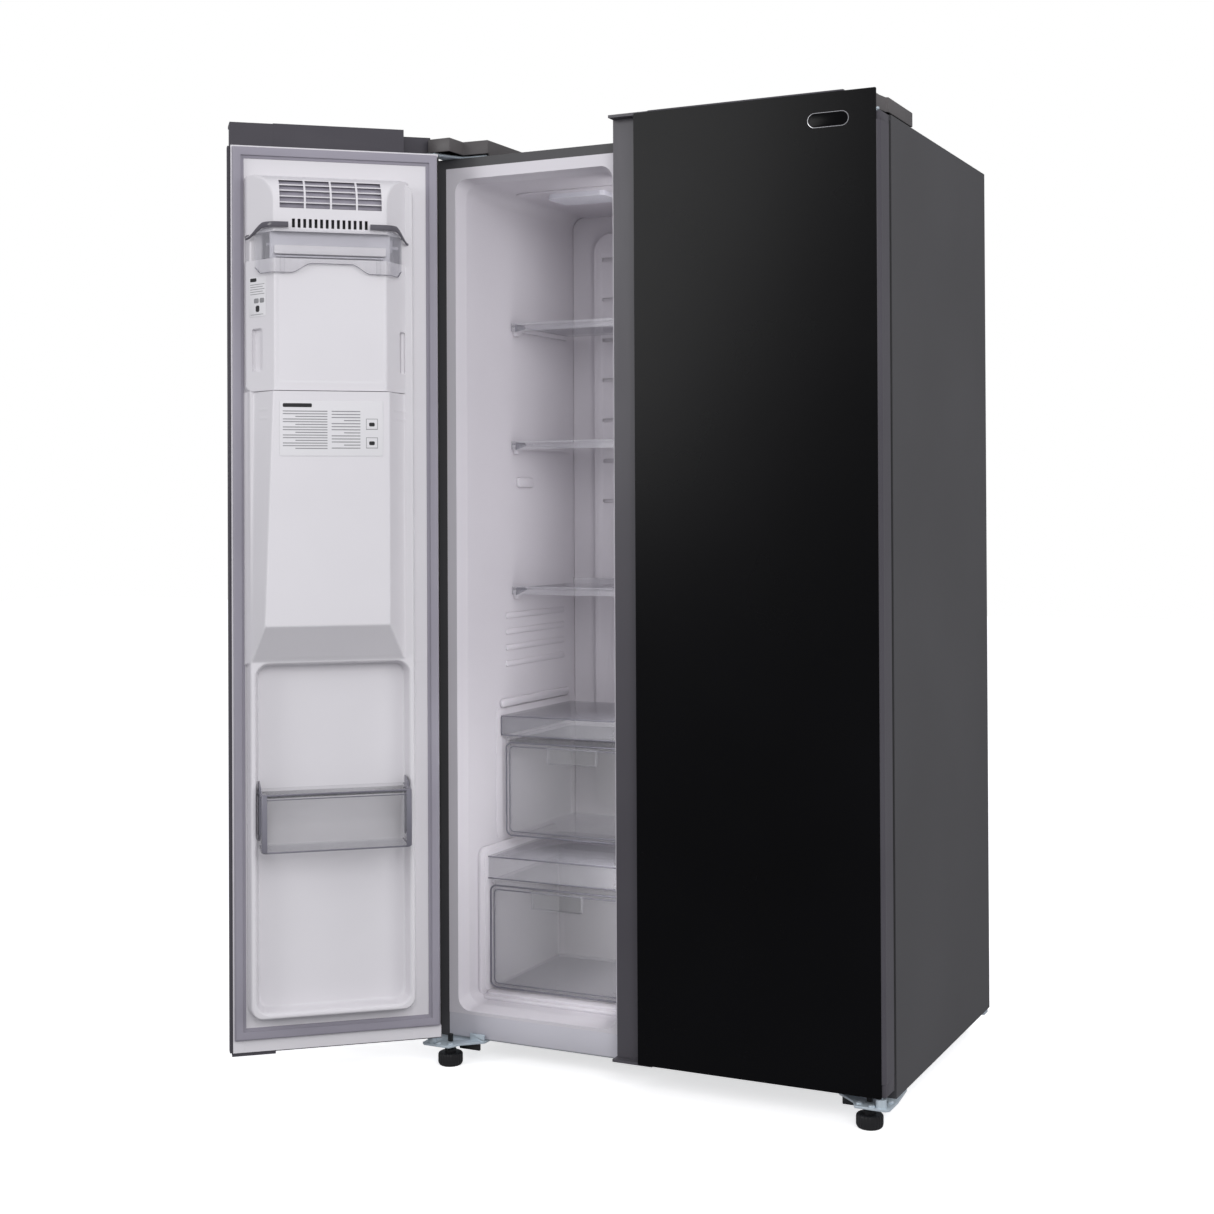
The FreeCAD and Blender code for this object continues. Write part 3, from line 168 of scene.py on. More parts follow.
COVER = textured("warm_grey_cover", (0.085, 0.079, 0.080), (0.105, 0.098, 0.099), 0.42, 900, 0.2,
                 specular=0.4)
ZINC = textured("zinc_plate", (0.58, 0.67, 0.74), (0.72, 0.80, 0.86), 0.36, 160, 0.15,
                metallic=0.5)
GALVANISED = textured("galvanised_sheet", (0.43, 0.45, 0.47), (0.50, 0.52, 0.54), 0.40, 220, 0.1,
                      metallic=0.7)
FIN = textured("aluminium_fin", (0.55, 0.56, 0.58), (0.68, 0.69, 0.71), 0.35, 400, 0.1,
               metallic=0.9)
SEAL = textured("gasket_rubber", (0.27, 0.255, 0.30), (0.33, 0.315, 0.365), 0.55, 800, 0.2)
BLACK = textured("black_plastic", (0.010, 0.010, 0.011), (0.018, 0.018, 0.020), 0.42, 900, 0.25)
RUBBER = textured("black_rubber", (0.012, 0.012, 0.012), (0.022, 0.022, 0.021), 0.75, 600, 0.4)
ENAMEL = textured("black_enamel", (0.006, 0.006, 0.007), (0.012, 0.012, 0.013), 0.22, 300, 0.06,
                  coat=0.4)
FOAM = textured("foam", (0.60, 0.50, 0.30), (0.72, 0.62, 0.40), 0.85, 260, 0.6)
LENS = textured("lamp_lens", (0.72, 0.72, 0.78), (0.80, 0.80, 0.86), 0.25, 350, 0.25)
CLEAR = clear("clear_plastic", (0.66, 0.65, 0.70), (0.30, 0.30, 0.35), 0.05, 0.60)
BOX = clear("drawer_plastic", (0.86, 0.85, 0.89), (0.22, 0.22, 0.27), 0.02, 0.40)
SHELF = clear("shelf_glass", (0.70, 0.69, 0.74), (0.20, 0.20, 0.24), 0.14, 0.62)
EDGE = textured("clear_edge", (0.13, 0.128, 0.155), (0.20, 0.195, 0.23), 0.2, 120, 0.05)
WING = textured("clear_wing", (0.085, 0.08, 0.095), (0.14, 0.135, 0.155), 0.16, 60, 0.05)
PAPER = textured("label_film", (0.66, 0.65, 0.67), (0.69, 0.68, 0.70), 0.5, 400, 0.05)
INK = textured("label_grey", (0.24, 0.24, 0.25), (0.30, 0.30, 0.31), 0.6, 300, 0.05)
# black for label print, and for plates that paint the shade behind the ice maker's louvres and slots
PRINT_AND_SHADE_BLACK = textured("print_and_painted_shade_black", (0.02, 0.02, 0.022), (0.03, 0.03, 0.032), 0.5, 300, 0.05)
SILVER = textured("badge_silver", (0.62, 0.62, 0.64), (0.74, 0.74, 0.76), 0.25, 500, 0.1,
                  metallic=0.8)

FINISH = {
    "painted_steel": STEEL, "galvanised": GALVANISED, "black_glass": GLASS, "grey_plastic": TRIM,
    "white_plastic": WHITE, "light_plastic": PALE, "clear_plastic": CLEAR, "clear_glass": SHELF,
    "foam": FOAM, "seal_rubber": SEAL, "black_rubber": RUBBER, "black_plastic": BLACK,
    "aluminium": FIN, "black_metal": ENAMEL, "lamp_lens": LENS,
}
OWN_FINISH = {
    "hinge_covers": COVER, "top_hinge_brackets": ZINC, "bottom_hinge_brackets": ZINC,
    "freezer_liner": WALL, "fridge_liner": WALL, "freezer_back_duct": WALL,
    "fridge_back_duct": WALL,
}
SLOTS = {part["node"]: part["material_slot"] for part in frame["record"]["subparts"]}
BODY_OF = {n: b for b, nodes in frame["record"]["behaviour"]["bodies"].items() for n in nodes}


def finish_of(node):
    return OWN_FINISH.get(node, FINISH[SLOTS[node]])


def dress_nodes():
    for name, thing in NODES.items():
        for holder in thing.material_slots:
            holder.material = finish_of(name)


# ---------------------------------------------------------------- mesh helpers
def piece(name, mesh, material, body):
    made = bpy.data.objects.new(name, mesh)
    bpy.context.collection.objects.link(made)
    made.data.materials.clear()
    made.data.materials.append(material)
    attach(made, body)
    return made


def shade(mesh, angle=32):
    for face in mesh.polygons:
        face.use_smooth = True
    mesh.set_sharp_from_angle(angle=math.radians(angle))


def finished(build, name, angle):
    """Turns what was built into a mesh with outward normals and smooth shading."""
    bmesh.ops.recalc_face_normals(build, faces=build.faces)
    mesh = bpy.data.meshes.new(name)
    build.to_mesh(mesh)
    build.free()
    shade(mesh, angle)
    return mesh


def around(ring):
    """Each place in a closed ring, with the place after it."""
    return [(i, (i + 1) % len(ring)) for i in range(len(ring))]


def bridge(build, rings):
    """Bands of faces that join each closed ring of points to the next."""
    for first, second in zip(rings, rings[1:]):
        for i, j in around(first):
            build.faces.new((first[i], first[j], second[j], second[i]))


def evaluated(thing):
    """The object's mesh with its modifiers applied."""
    bpy.context.view_layer.update()
    graph = bpy.context.evaluated_depsgraph_get()
    return bpy.data.meshes.new_from_object(thing.evaluated_get(graph))


def clean_copy(node):
    """A CAD node's mesh and its editable form, with the triangles of flat faces joined."""
    mesh = NODES[node].data.copy()
    build = bmesh.new()
    build.from_mesh(mesh)
    bmesh.ops.remove_doubles(build, verts=build.verts, dist=WELD_M)
    bmesh.ops.dissolve_limit(build, angle_limit=math.radians(1.0), verts=build.verts,
                             edges=build.edges)
    return mesh, build


def soften(node, width, material=None):
    """A copy of a CAD node with its edges rounded, which stands for the node."""
    mesh, build = clean_copy(node)
    build.to_mesh(mesh)
    build.free()
    rough = bpy.data.objects.new(f"{node}_rough", mesh)
    bpy.context.collection.objects.link(rough)
    bevel = rough.modifiers.new("round", "BEVEL")
    bevel.width = width * MM
    bevel.segments = 2
    bevel.limit_method = "ANGLE"
    bevel.angle_limit = math.radians(28)
    bevel.use_clamp_overlap = False
    final = evaluated(rough)
    bpy.data.objects.remove(rough)
    shade(final)
    made = piece(f"{node}_soft", final, material or finish_of(node), BODY_OF[node])
    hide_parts(node)


def shrink(node, amount):
    """A hidden core: the CAD node pulled in on every side so that the skin over it stays clear."""
    mesh, build = clean_copy(node)
    moves = []
    for vert in build.verts:
        ways = []
        for face in vert.link_faces:
            if all(face.normal.dot(way) < 0.9 for way in ways):
                ways.append(face.normal.copy())
        moves.append(sum(ways, Vector()) * -amount * MM)
    for vert, move in zip(build.verts, moves):
        vert.co += move
    build.to_mesh(mesh)
    build.free()
    shade(mesh)
    made = piece(f"{node}_core", mesh, finish_of(node), BODY_OF[node])
    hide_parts(node)


def rounded_outline(a0, b0, a1, b1, radius, steps=6):
    """Points round a rectangle with round corners."""
    points = []
    corners = ((a1 - radius, b0 + radius, -90), (a1 - radius, b1 - radius, 0),
               (a0 + radius, b1 - radius, 90), (a0 + radius, b0 + radius, 180))
    for a, b, start in corners:
        for i in range(steps + 1):
            turn = math.radians(start + 90 * i / steps)
            points.append((a + radius * math.cos(turn), b + radius * math.sin(turn)))
    return points


def slab(name, outline, place, low, high, material, body, bevel, axis="y"):
    """A plate over an outline between two depths, with rounded rims; place maps to the frame."""
    build = bmesh.new()
    rings = []
    rim = min(bevel, abs(high - low) / 2.01)
    centre_a = sum(a for a, _ in outline) / len(outline)
    centre_b = sum(b for _, b in outline) / len(outline)
    half_a = max(abs(a - centre_a) for a, _ in outline)
    half_b = max(abs(b - centre_b) for _, b in outline)
    levels = ((low, rim), (low + rim * 0.3, rim * 0.3), (low + rim, 0), (high - rim, 0),
              (high - rim * 0.3, rim * 0.3), (high, rim))
    for level, inset in levels:
        ring = []
        for a, b in outline:
            p = centre_a + (a - centre_a) * (1 - inset / half_a)
            q = centre_b + (b - centre_b) * (1 - inset / half_b)
            where = place(p, level, q) if axis == "y" else place(p, q, level)
            ring.append(build.verts.new(where))
        rings.append(ring)
    bridge(build, rings)
    build.faces.new(rings[0][::-1])
    build.faces.new(rings[-1])
    return piece(name, finished(build, name, 40), material, body)


def tube(name, points, radius, material, body):
    """A round rod that follows points in the frame, with flat ends."""
    curve = bpy.data.curves.new(name, "CURVE")
    curve.dimensions = "3D"
    curve.bevel_depth = radius * MM
    curve.bevel_resolution = 3
    curve.use_fill_caps = True
    line = curve.splines.new("POLY")
    line.points.add(len(points) - 1)
    for spot, where in zip(line.points, points):
        spot.co = (*where, 1)
    holder = bpy.data.objects.new(name, curve)
    bpy.context.collection.objects.link(holder)
    mesh = evaluated(holder)
    bpy.data.objects.remove(holder)
    mesh.name = name
    shade(mesh, 50)
    return piece(name, mesh, material, body)


# ---------------------------------------------------------------- vacuum-formed door liners
def rect_inside(u, z, u0, z0, u1, z1, radius):
    """How far each place lies inside a rectangle with round corners; negative outside."""
    a = np.abs(u - (u0 + u1) / 2) - ((u1 - u0) / 2 - radius)
    b = np.abs(z - (z0 + z1) / 2) - ((z1 - z0) / 2 - radius)
    outside = np.hypot(np.maximum(a, 0), np.maximum(b, 0)) + np.minimum(np.maximum(a, b), 0)
    return radius - outside


def ease(value, start, end):
    """A smooth step from 0 at start to 1 at end."""
    t = np.clip((value - start) / (end - start), 0, 1)
    return t * t * (3 - 2 * t)


def soft_max(first, second, blend):
    """The larger of two heights, with the crease between them rounded."""
    mix = np.clip(0.5 + 0.5 * (first - second) / blend, 0, 1)
    return second * (1 - mix) + first * mix + blend * mix * (1 - mix) * 0.5


def soft_min(first, second, blend):
    """The smaller of two heights, with the crease between them rounded."""
    return -soft_max(-first, -second, blend)


def formed_sheet(name, place, us, zs, height, body, node):
    """A door liner that stands for its CAD node: a grid raised to its height, with a flat back."""
    uu, zz = np.meshgrid(us, zs)
    yy = height(uu, zz)
    build = bmesh.new()
    front = [[build.verts.new(place(u, y, z)) for u, y, z in zip(*row)] for row in zip(uu, yy, zz)]
    rows, columns = len(zs), len(us)
    for i in range(rows - 1):
        for j in range(columns - 1):
            build.faces.new((front[i][j], front[i][j + 1], front[i + 1][j + 1], front[i + 1][j]))
    border = ([front[0][j] for j in range(columns)]
              + [front[i][columns - 1] for i in range(1, rows)]
              + [front[rows - 1][j] for j in range(columns - 2, -1, -1)]
              + [front[i][0] for i in range(rows - 2, 0, -1)])
    spots = ([(us[j], zs[0]) for j in range(columns)]
             + [(us[-1], zs[i]) for i in range(1, rows)]
             + [(us[j], zs[-1]) for j in range(columns - 2, -1, -1)]
             + [(us[0], zs[i]) for i in range(rows - 2, 0, -1)])
    back = [build.verts.new(place(u, SHEET_BACK_Y, z)) for u, z in spots]
    for i, j in around(border):
        build.faces.new((border[i], back[i], back[j], border[j]))
    build.faces.new(back)
    made = piece(name, finished(build, name, 70), WHITE, body)
    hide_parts(node)


FLOOR_Y = -10.0
RIM_Y = 25.0
RIM_WIDE = 16.0
RIM_NEAR, RIM_LOW, RIM_TOP = 50, 125, 1655
TOWER_Y = 85
SHEET_BACK_Y = -11.9
SHEET_NEAR, SHEET_LOW, SHEET_TOP = 1.5, 64.5, 1713.6


def raised_rim(u, z, u0, z0, u1, z1, hollow_top=None, wide=RIM_WIDE):
    """The raised ring round a door liner, from the floor of the sheet to its rounded top."""
    radius = 26
    inside = rect_inside(u, z, u0, z0, u1, z1, radius)
    up = ease(inside, -1, 6)
    top = hollow_top or z1 - RIM_WIDE
    hollow = rect_inside(u, z, u0 + wide, z0 + RIM_WIDE, u1 - wide, top, radius - 4)
    down = 1 - ease(hollow, -4, 5)
    return FLOOR_Y + (RIM_Y - FLOOR_Y) * np.minimum(up, down)


def freezer_liner_height(u, z):
    edges = (RIM_NEAR, RIM_LOW, 356, RIM_TOP)
    ring = np.where(z < 815, raised_rim(u, z, *edges, hollow_top=768),
                    raised_rim(u, z, *edges, wide=31))
    slope_in = np.clip((u - 52) / (108 - 52), 0, 1)
    far = 330 - 16 * np.clip((z - 838) / (1262 - 838), 0, 1)
    slope_out = np.clip((362 - u) / (362 - far), 0, 1)
    rise = np.minimum(slope_in, slope_out)
    ramp = np.clip(0.37 + 0.63 * (z - 774) / (842 - 774), 0, 1) * ease(z, 764, 776)
    rise = soft_min(rise, ramp, 0.04)
    rise = rise * (1 - ease(z, 1261, 1264))
    tower = FLOOR_Y + (TOWER_Y - FLOOR_Y) * rise
    shape = soft_max(tower, ring, 7.0)
    # two low steps cross the tower's shoulders
    tread = 1.1 * (ease(z, 1226, 1228) - ease(z, 1230, 1232))
    tread += 1.1 * (ease(z, 1210, 1212) - ease(z, 1214, 1216))
    side = ease(u, 68, 72) * (1 - ease(u, 94, 100)) + ease(u, 322, 326) * (1 - ease(u, 334, 338))
    return shape + tread * side


def fridge_liner_height(u, z):
    return raised_rim(u, z, RIM_NEAR, RIM_LOW, 480, RIM_TOP)


def stations(last, *spans):
    """Grid lines from spans of start, end and step, closed by the sheet's last edge."""
    return np.concatenate([np.arange(*span) for span in spans] + [[last]])


def door_liners():
    foot = ((SHEET_LOW, 124, 6), (124, 156, 2.0))
    head = ((1620, 1664, 2.0), (1664, SHEET_TOP, 6))
    zs = stations(SHEET_TOP, *foot, (156, 740, 8), (740, 856, 2.0), (856, 1200, 8),
                  (1200, 1259, 2.0), (1260, 1265, 1), (1266, 1267, 1), (1268, 1620, 8), *head)
    us = stations(382.6, (SHEET_NEAR, 46, 5), (46, 120, 1.75), (120, 300, 6), (300, 362, 1.75),
                  (362, 382.6, 5))
    formed_sheet("freezer_door_inner", on_freezer_door, us, zs, freezer_liner_height,
                 "freezer_door", "freezer_door_liner")
    zs = stations(SHEET_TOP, *foot, (156, 1620, 12), *head)
    us = stations(506.6, (SHEET_NEAR, 46, 5), (46, 76, 1.75), (76, 450, 10), (450, 486, 1.75),
                  (486, 506.6, 5))
    formed_sheet("fridge_door_inner", on_fridge_door, us, zs, fridge_liner_height,
                 "fridge_door", "fridge_door_liner")


# ---------------------------------------------------------------- door seals
def gasket(name, place, width, body, node):
    """A magnetic seal: a soft bulb with a groove, run round the door with mitred corners."""
    profile = [(0, -9.8), (0, -7.5), (1.2, -5.2), (0.4, -3.2), (1.6, -1.4), (4, -0.9), (13, -0.9),
               (15.2, -1.8), (15.6, -3.4), (14.2, -5.0), (17.0, -6.0), (20.2, -7.2), (20.8, -8.6),
               (20.8, -9.8)]
    low, high, inset = 87.5, 1710.5, 4.0
    build = bmesh.new()
    rings = []
    for corner_u, corner_z, way_u, way_z in ((inset, low, 1, 1), (width - inset, low, -1, 1),
                                             (width - inset, high, -1, -1), (inset, high, 1, -1)):
        rings.append([build.verts.new(place(corner_u + way_u * across, y,
                                            corner_z + way_z * across))
                      for across, y in profile])
    for side, after in around(rings):
        first, second = rings[side], rings[after]
        for j, k in around(profile):
            build.faces.new((first[j], second[j], second[k], first[k]))
    made = piece(name, finished(build, name, 50), SEAL, body)
    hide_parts(node)


# ---------------------------------------------------------------- labels and badge
def label(name, place, u0, z0, u1, z1, y, body, bars):
    """A blank film label with plain grey bars in place of print, given as shares of its size."""
    outline = rounded_outline(u0, z0, u1, z1, 2)
    slab(name, outline, place, y, y + 0.25, PAPER, body, 0.1)
    for i, (a0, b0, a1, b1, dark) in enumerate(bars):
        p0, p1 = u0 + (u1 - u0) * a0, u0 + (u1 - u0) * a1
        q0, q1 = z0 + (z1 - z0) * b0, z0 + (z1 - z0) * b1
        radius = min(abs(p1 - p0), abs(q1 - q0)) * 0.3
        slab(f"{name}_bar_{i}", rounded_outline(p0, q0, p1, q1, radius, 3), place, y + 0.2,
             y + 0.4, PRINT_AND_SHADE_BLACK if dark else INK, body, 0.05)


def paragraph(a0, a1, rows, short_every=3):
    """Rows of plain bars down a label column."""
    bars = []
    for i in range(rows):
        b = 0.80 - i * 0.72 / rows
        end = a1 - (0.12 if i % short_every == short_every - 1 else 0.0)
        bars.append((a0, b, end, b + 0.018, False))
    return bars


def labels():
    # on the tower: a dark heading bar, two columns of lines and two empty picture frames
    bars = [(0.69, 0.88, 0.97, 0.95, True)]
    bars += paragraph(0.54, 0.97, 15) + paragraph(0.22, 0.50, 13, 4)
    for low in (0.14, 0.48):
        bars += [(0.05, low, 0.055, low + 0.2, False), (0.16, low, 0.165, low + 0.2, False),
                 (0.05, low, 0.165, low + 0.015, False),
                 (0.05, low + 0.19, 0.165, low + 0.2, False),
                 (0.08, low + 0.06, 0.135, low + 0.13, True)]
    label("tower_label", on_freezer_door, 120, 1145, 304, 1244, TOWER_Y, "freezer_door", bars)


def badge():
    """A plain silver badge with a dark field, its ends fully round."""
    near, far, low, high, border = 54, 128, 1694, 1720, 1.2
    outline = rounded_outline(near, low, far, high, 12.9, 10)
    slab("door_badge", outline, on_fridge_door, -63.3, -62.0, SILVER, "fridge_door", 0.4)
    inner = rounded_outline(near + border, low + border, far - border, high - border, 11.7, 10)
    slab("door_badge_field", inner, on_fridge_door, -63.7, -63.2, GLASS, "fridge_door", 0.2)


# ---------------------------------------------------------------- ice unit
ROOT_NEAR, FACE_NEAR, FACE_FAR, ROOT_FAR = 61, 112, 312, 357
ROOT_Y, FACE_Y, FLANGE_Y = 15, 82, -8.5


def ice_front(u):
    """How far the ice unit's front stands out at each distance from the hinge."""
    out = FACE_Y - ROOT_Y
    near = ROOT_Y + (u - ROOT_NEAR) * out / (FACE_NEAR - ROOT_NEAR)
    far = ROOT_Y + (ROOT_FAR - u) * out / (ROOT_FAR - FACE_FAR)
    return soft_min(soft_min(near, far, 2.0), np.full_like(u, FACE_Y), 5.0)


def everywhere(u, z):
    return True


def shell_sheet(name, us, zs, height, thick, kept, material, body):
    """A moulded wall of even depth on the freezer door, with openings where kept is false."""
    uu, zz = np.meshgrid(us, zs)
    yy = height(uu, zz)
    build = bmesh.new()
    front, back = ([[build.verts.new(on_freezer_door(*p)) for p in zip(*row)]
                    for row in zip(uu, level, zz)] for level in (yy, yy - thick))
    rows, columns = len(zs) - 1, len(us) - 1
    solid = [[bool(kept((us[j] + us[j + 1]) / 2, (zs[i] + zs[i + 1]) / 2))
              for j in range(columns)] for i in range(rows)]

    def filled(i, j):
        return 0 <= i < rows and 0 <= j < columns and solid[i][j]

    for i in range(rows):
        for j in range(columns):
            if not solid[i][j]:
                continue
            build.faces.new((front[i][j], front[i][j + 1], front[i + 1][j + 1], front[i + 1][j]))
            build.faces.new((back[i][j], back[i + 1][j], back[i + 1][j + 1], back[i][j + 1]))
            for di, dj, p, q in ((-1, 0, (i, j), (i, j + 1)), (1, 0, (i + 1, j + 1), (i + 1, j)),
                                 (0, -1, (i + 1, j), (i, j)), (0, 1, (i, j + 1), (i + 1, j + 1))):
                if not filled(i + di, j + dj):
                    build.faces.new((front[q[0]][q[1]], front[p[0]][p[1]], back[p[0]][p[1]],
                                     back[q[0]][q[1]]))
    loose = [v for v in build.verts if not v.link_faces]
    bmesh.ops.delete(build, geom=loose, context="VERTS")
    return piece(name, finished(build, name, 50), material, body)


def curtain(name, path, low, high, thick, material, body):
    """An upright wall along a plan path, with its own lower and upper edge at each point."""
    count = len(path)
    ways = []
    for i in range(count):
        a, b = path[max(i - 1, 0)], path[min(i + 1, count - 1)]
        run = math.hypot(b[0] - a[0], b[1] - a[1])
        ways.append(((b[1] - a[1]) / run, -(b[0] - a[0]) / run))
    build = bmesh.new()
    rings = []
    for (u, y), (nu, ny), z0, z1 in zip(path, ways, low, high):
        rim = min(thick / 2, (z1 - z0) / 2) * 0.7
        ring = []
        for depth, z in ((-0.5, z0 + rim), (-0.2, z0), (0.2, z0), (0.5, z0 + rim),
                         (0.5, z1 - rim), (0.2, z1), (-0.2, z1), (-0.5, z1 - rim)):
            ring.append(build.verts.new(on_freezer_door(u + nu * thick * depth,
                                                        y + ny * thick * depth, z)))
        rings.append(ring)
    for first, second in zip(rings, rings[1:]):
        for j, k in around(first):
            build.faces.new((first[j], second[j], second[k], first[k]))
    build.faces.new(rings[0])
    build.faces.new(rings[-1][::-1])
    return piece(name, finished(build, name, 45), material, body)


def spread(points, step, radius=7):
    """Points about every step along a path whose corners are rounded."""
    bend = 6
    smooth = [points[0]]
    for before, corner, after in zip(points, points[1:], points[2:]):
        ends = []
        for other in (before, after):
            run = math.dist(other, corner)
            share = min(radius / run, 0.45)
            ends.append(tuple(c + (o - c) * share for c, o in zip(corner, other)))
        for i in range(bend + 1):
            t = i / bend
            smooth.append(tuple((1 - t) ** 2 * p + 2 * t * (1 - t) * c + t * t * q
                                for p, c, q in zip(ends[0], corner, ends[1])))
    smooth.append(points[-1])
    result = [smooth[0]]
    for a, b in zip(smooth, smooth[1:]):
        pieces = max(1, round(math.dist(a, b) / step))
        for i in range(1, pieces + 1):
            result.append(tuple(p + (q - p) * i / pieces for p, q in zip(a, b)))
    return result


def between(value, *spans):
    return any(low < value < high for low, high in spans)


def housing():
    """The ice maker's front, with a louvred window and a row of slots; behind them, a grey sheet and black plates
    paint the shade inside.
    """
    bend_low, bend_top, top = 1596, 1654, 1652
    window_low, window_top, slot_low, slot_top = 1588, 1642, 1553, 1569
    near, far = 118, 306
    columns = [(120 + 46.5 * i, 120 + 46.5 * i + 43.0) for i in range(4)]
    slots = [(145.5 + 10 * i, 150.8 + 10 * i) for i in range(14)]

    def cap(z):
        """How far the rounded top of the front stands out."""
        turn = np.clip((z - bend_low) / (bend_top - bend_low), 0, 1)
        return 18 + 64 * np.sqrt(1 - turn * turn)

    def height(u, z):
        face = soft_min(ice_front(u), cap(z), 4.0)
        return np.where((u <= ROOT_NEAR) | (u >= 357.5), FLANGE_Y, np.maximum(face, FLANGE_Y))

    us = sorted({60.5, 358, *np.arange(61.5, 113, 2.0), *np.arange(312, 357.5, 2.0),
                 *(edge for span in columns + slots for edge in span), 116, 308.5})
    zs = sorted({1546, *np.arange(1549, window_low, 3.0), slot_low, slot_top,
                 *np.arange(window_low, 1653, 3.1), window_top, top})

    def kept(u, z):
        open_grid = between(z, (window_low, window_top)) and between(u, *columns)
        open_slot = between(z, (slot_low, slot_top)) and between(u, *slots)
        return not (open_grid or open_slot)

    made = shell_sheet("ice_maker_front", us, zs, height, 2.4, kept, WHITE, "freezer_door")
    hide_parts("ice_maker_housing")
    rows = 5
    for row in range(rows):
        z = window_low + 9 + row * (window_top - window_low - 10) / (rows - 1)
        y = float(cap(z)) - 1.2
        outline = [(near, 0), (far, 0), (far, 1.5), (near, 1.5)]

        def tilted(u, level, up, z=z, y=y):
            return on_freezer_door(u, y - level, z + up + level * 0.35)

        slab(f"louvre_{row}", outline, tilted, 0, 9, WHITE, "freezer_door", 0.3)
    # the sheet behind the louvres takes the darker gasket grey, a painted shade for the gaps between the slats
    shell_sheet("louvre_back", [near, 180, 240, far], np.arange(1590, 1648, 4.0),
                lambda u, z: height(u, z) - 9.0, 1.5, everywhere, SEAL, "freezer_door")
    # a black strip behind the foot of the louvred window paints the shade under the lowest slat
    slab("louvre_low_shade_strip", [(near, 1585), (far, 1585), (far, 1595), (near, 1595)], on_freezer_door,
         50, 52, PRINT_AND_SHADE_BLACK, "freezer_door", 0.5)
    # a black plate behind the row of slots paints the shade inside them
    slab("slot_shade_plate", [(142, 1549), (286, 1549), (286, 1573), (142, 1573)], on_freezer_door,
         70, 72, PRINT_AND_SHADE_BLACK, "freezer_door", 0.5)


def bucket():
    """The ice bucket's front, with a hand recess in each flank, and its rear wall and floor."""
    low, top = 1261.2, 1498
    grip_low, grip_top = 1299, 1374

    def height(u, z):
        inside = rect_inside(u, z, 59, low, 359, top + 30, 14)
        shape = FLANGE_Y + (ice_front(u) - FLANGE_Y) * ease(inside, -1.5, 1.2)
        for u0, u1, deep in ((71, 82, 16.0), (332, 347, 13.0)):
            hollow = rect_inside(u, z, u0, grip_low, u1, grip_top, 3.0)
            shape = shape - deep * ease(hollow, -0.6, 1.6)
        # a shallow moulded panel across the front
        panel = rect_inside(u, z, 118, 1278, 306, 1560, 8)
        shape = shape - 0.5 * ease(panel, -0.8, 0.8)
        return np.where((u < ROOT_NEAR) | (u > 357.5), FLANGE_Y, np.maximum(shape, FLANGE_Y))

    us = sorted({60.5, 358, *np.arange(61.5, 121, 1.0), *np.arange(121, 303, 7.0),
                 *np.arange(303, 357.6, 1.0)})
    zs = sorted({*(low + 0.35 * i for i in range(8)), *np.arange(low + 3, 1294, 1.5),
                 *np.arange(1294, 1304, 1.2), *np.arange(1304, 1369, 6),
                 *np.arange(1369, 1379, 1.2), *np.arange(1379, top, 8.0), top})
    made = shell_sheet("ice_bucket_front", us, zs, height, 3.0, everywhere, WHITE, "ice_bucket")
    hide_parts("ice_bucket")
    slab("bucket_rear", rounded_outline(70, 1270, 336, 1494, 6), on_freezer_door, -8, -5.5, WHITE,
         "ice_bucket", 0.8)
    slab("bucket_floor", [(72, -6), (334, -6), (334, 14), (310, 76), (114, 76), (72, 14)],
         on_freezer_door, 1268, 1271, WHITE, "ice_bucket", 0.8, axis="z")


def guard():
    """The clear guard with its arched lower edge and dark wings, and the bar behind it."""
    path = spread([(80, 46), (108, 87), (316, 87), (343, 46)], 3)
    low = []
    for u, y in path:
        arch = ease(u, 140, 176) * (1 - ease(u, 246, 284))
        low.append(1472 + 17 * float(arch) + 12 * float(ease(60 - y, 0, 16)))
    made = curtain("ice_guard_clear", path, low, [1550.5] * len(path), 2.4, CLEAR, "ice_guard")
    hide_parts("ice_guard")
    rim_low = [z - 0.6 for z in low]
    curtain("ice_guard_edge", path, rim_low, [z + 1.1 for z in rim_low], 2.8, EDGE, "ice_guard")
    for name, ends in (("near", [(64, 26), (101, 89), (142, 89)]),
                       ("far", [(358, 26), (321, 89), (288, 89)])):
        wing = spread(ends, 4, 16)
        rise = [float(ease(share, 0.0, 0.55)) for share in
                (i / (len(wing) - 1) for i in range(len(wing)))]
        curtain(f"ice_guard_wing_{name}", wing, [1535 + 17 * r for r in rise],
                [1539 + 23 * r for r in rise], 2.6, WING, "ice_guard")
    slab("guard_bar", rounded_outline(112, 1506, 312, 1522, 3), on_freezer_door, 66, 79, WHITE,
         "ice_bucket", 1.5)
    slab("guard_bar_lip", rounded_outline(116, 1501, 308, 1504, 1), on_freezer_door, 66, 75, PALE,
         "ice_bucket", 0.6)
    slab("guard_back", rounded_outline(103, 1486, 319, 1552, 4), on_freezer_door, 63, 67, PALE,
         "ice_bucket", 1.0)
    for u in (126, 298):
        slab(f"guard_clip_{u}", rounded_outline(u - 4, 1470, u + 4, 1502, 3), on_freezer_door, 80,
             85, CLEAR, "ice_guard", 1.0)


def far_slope(a, out, z):
    """A point on the ice unit's slanted far side: a runs from its front edge towards the door."""
    across, back, run = ROOT_FAR - FACE_FAR, FACE_Y - ROOT_Y, 80.7
    return on_freezer_door(FACE_FAR + (across * a + back * out) / run,
                           FACE_Y + (-back * a + across * out) / run, z)


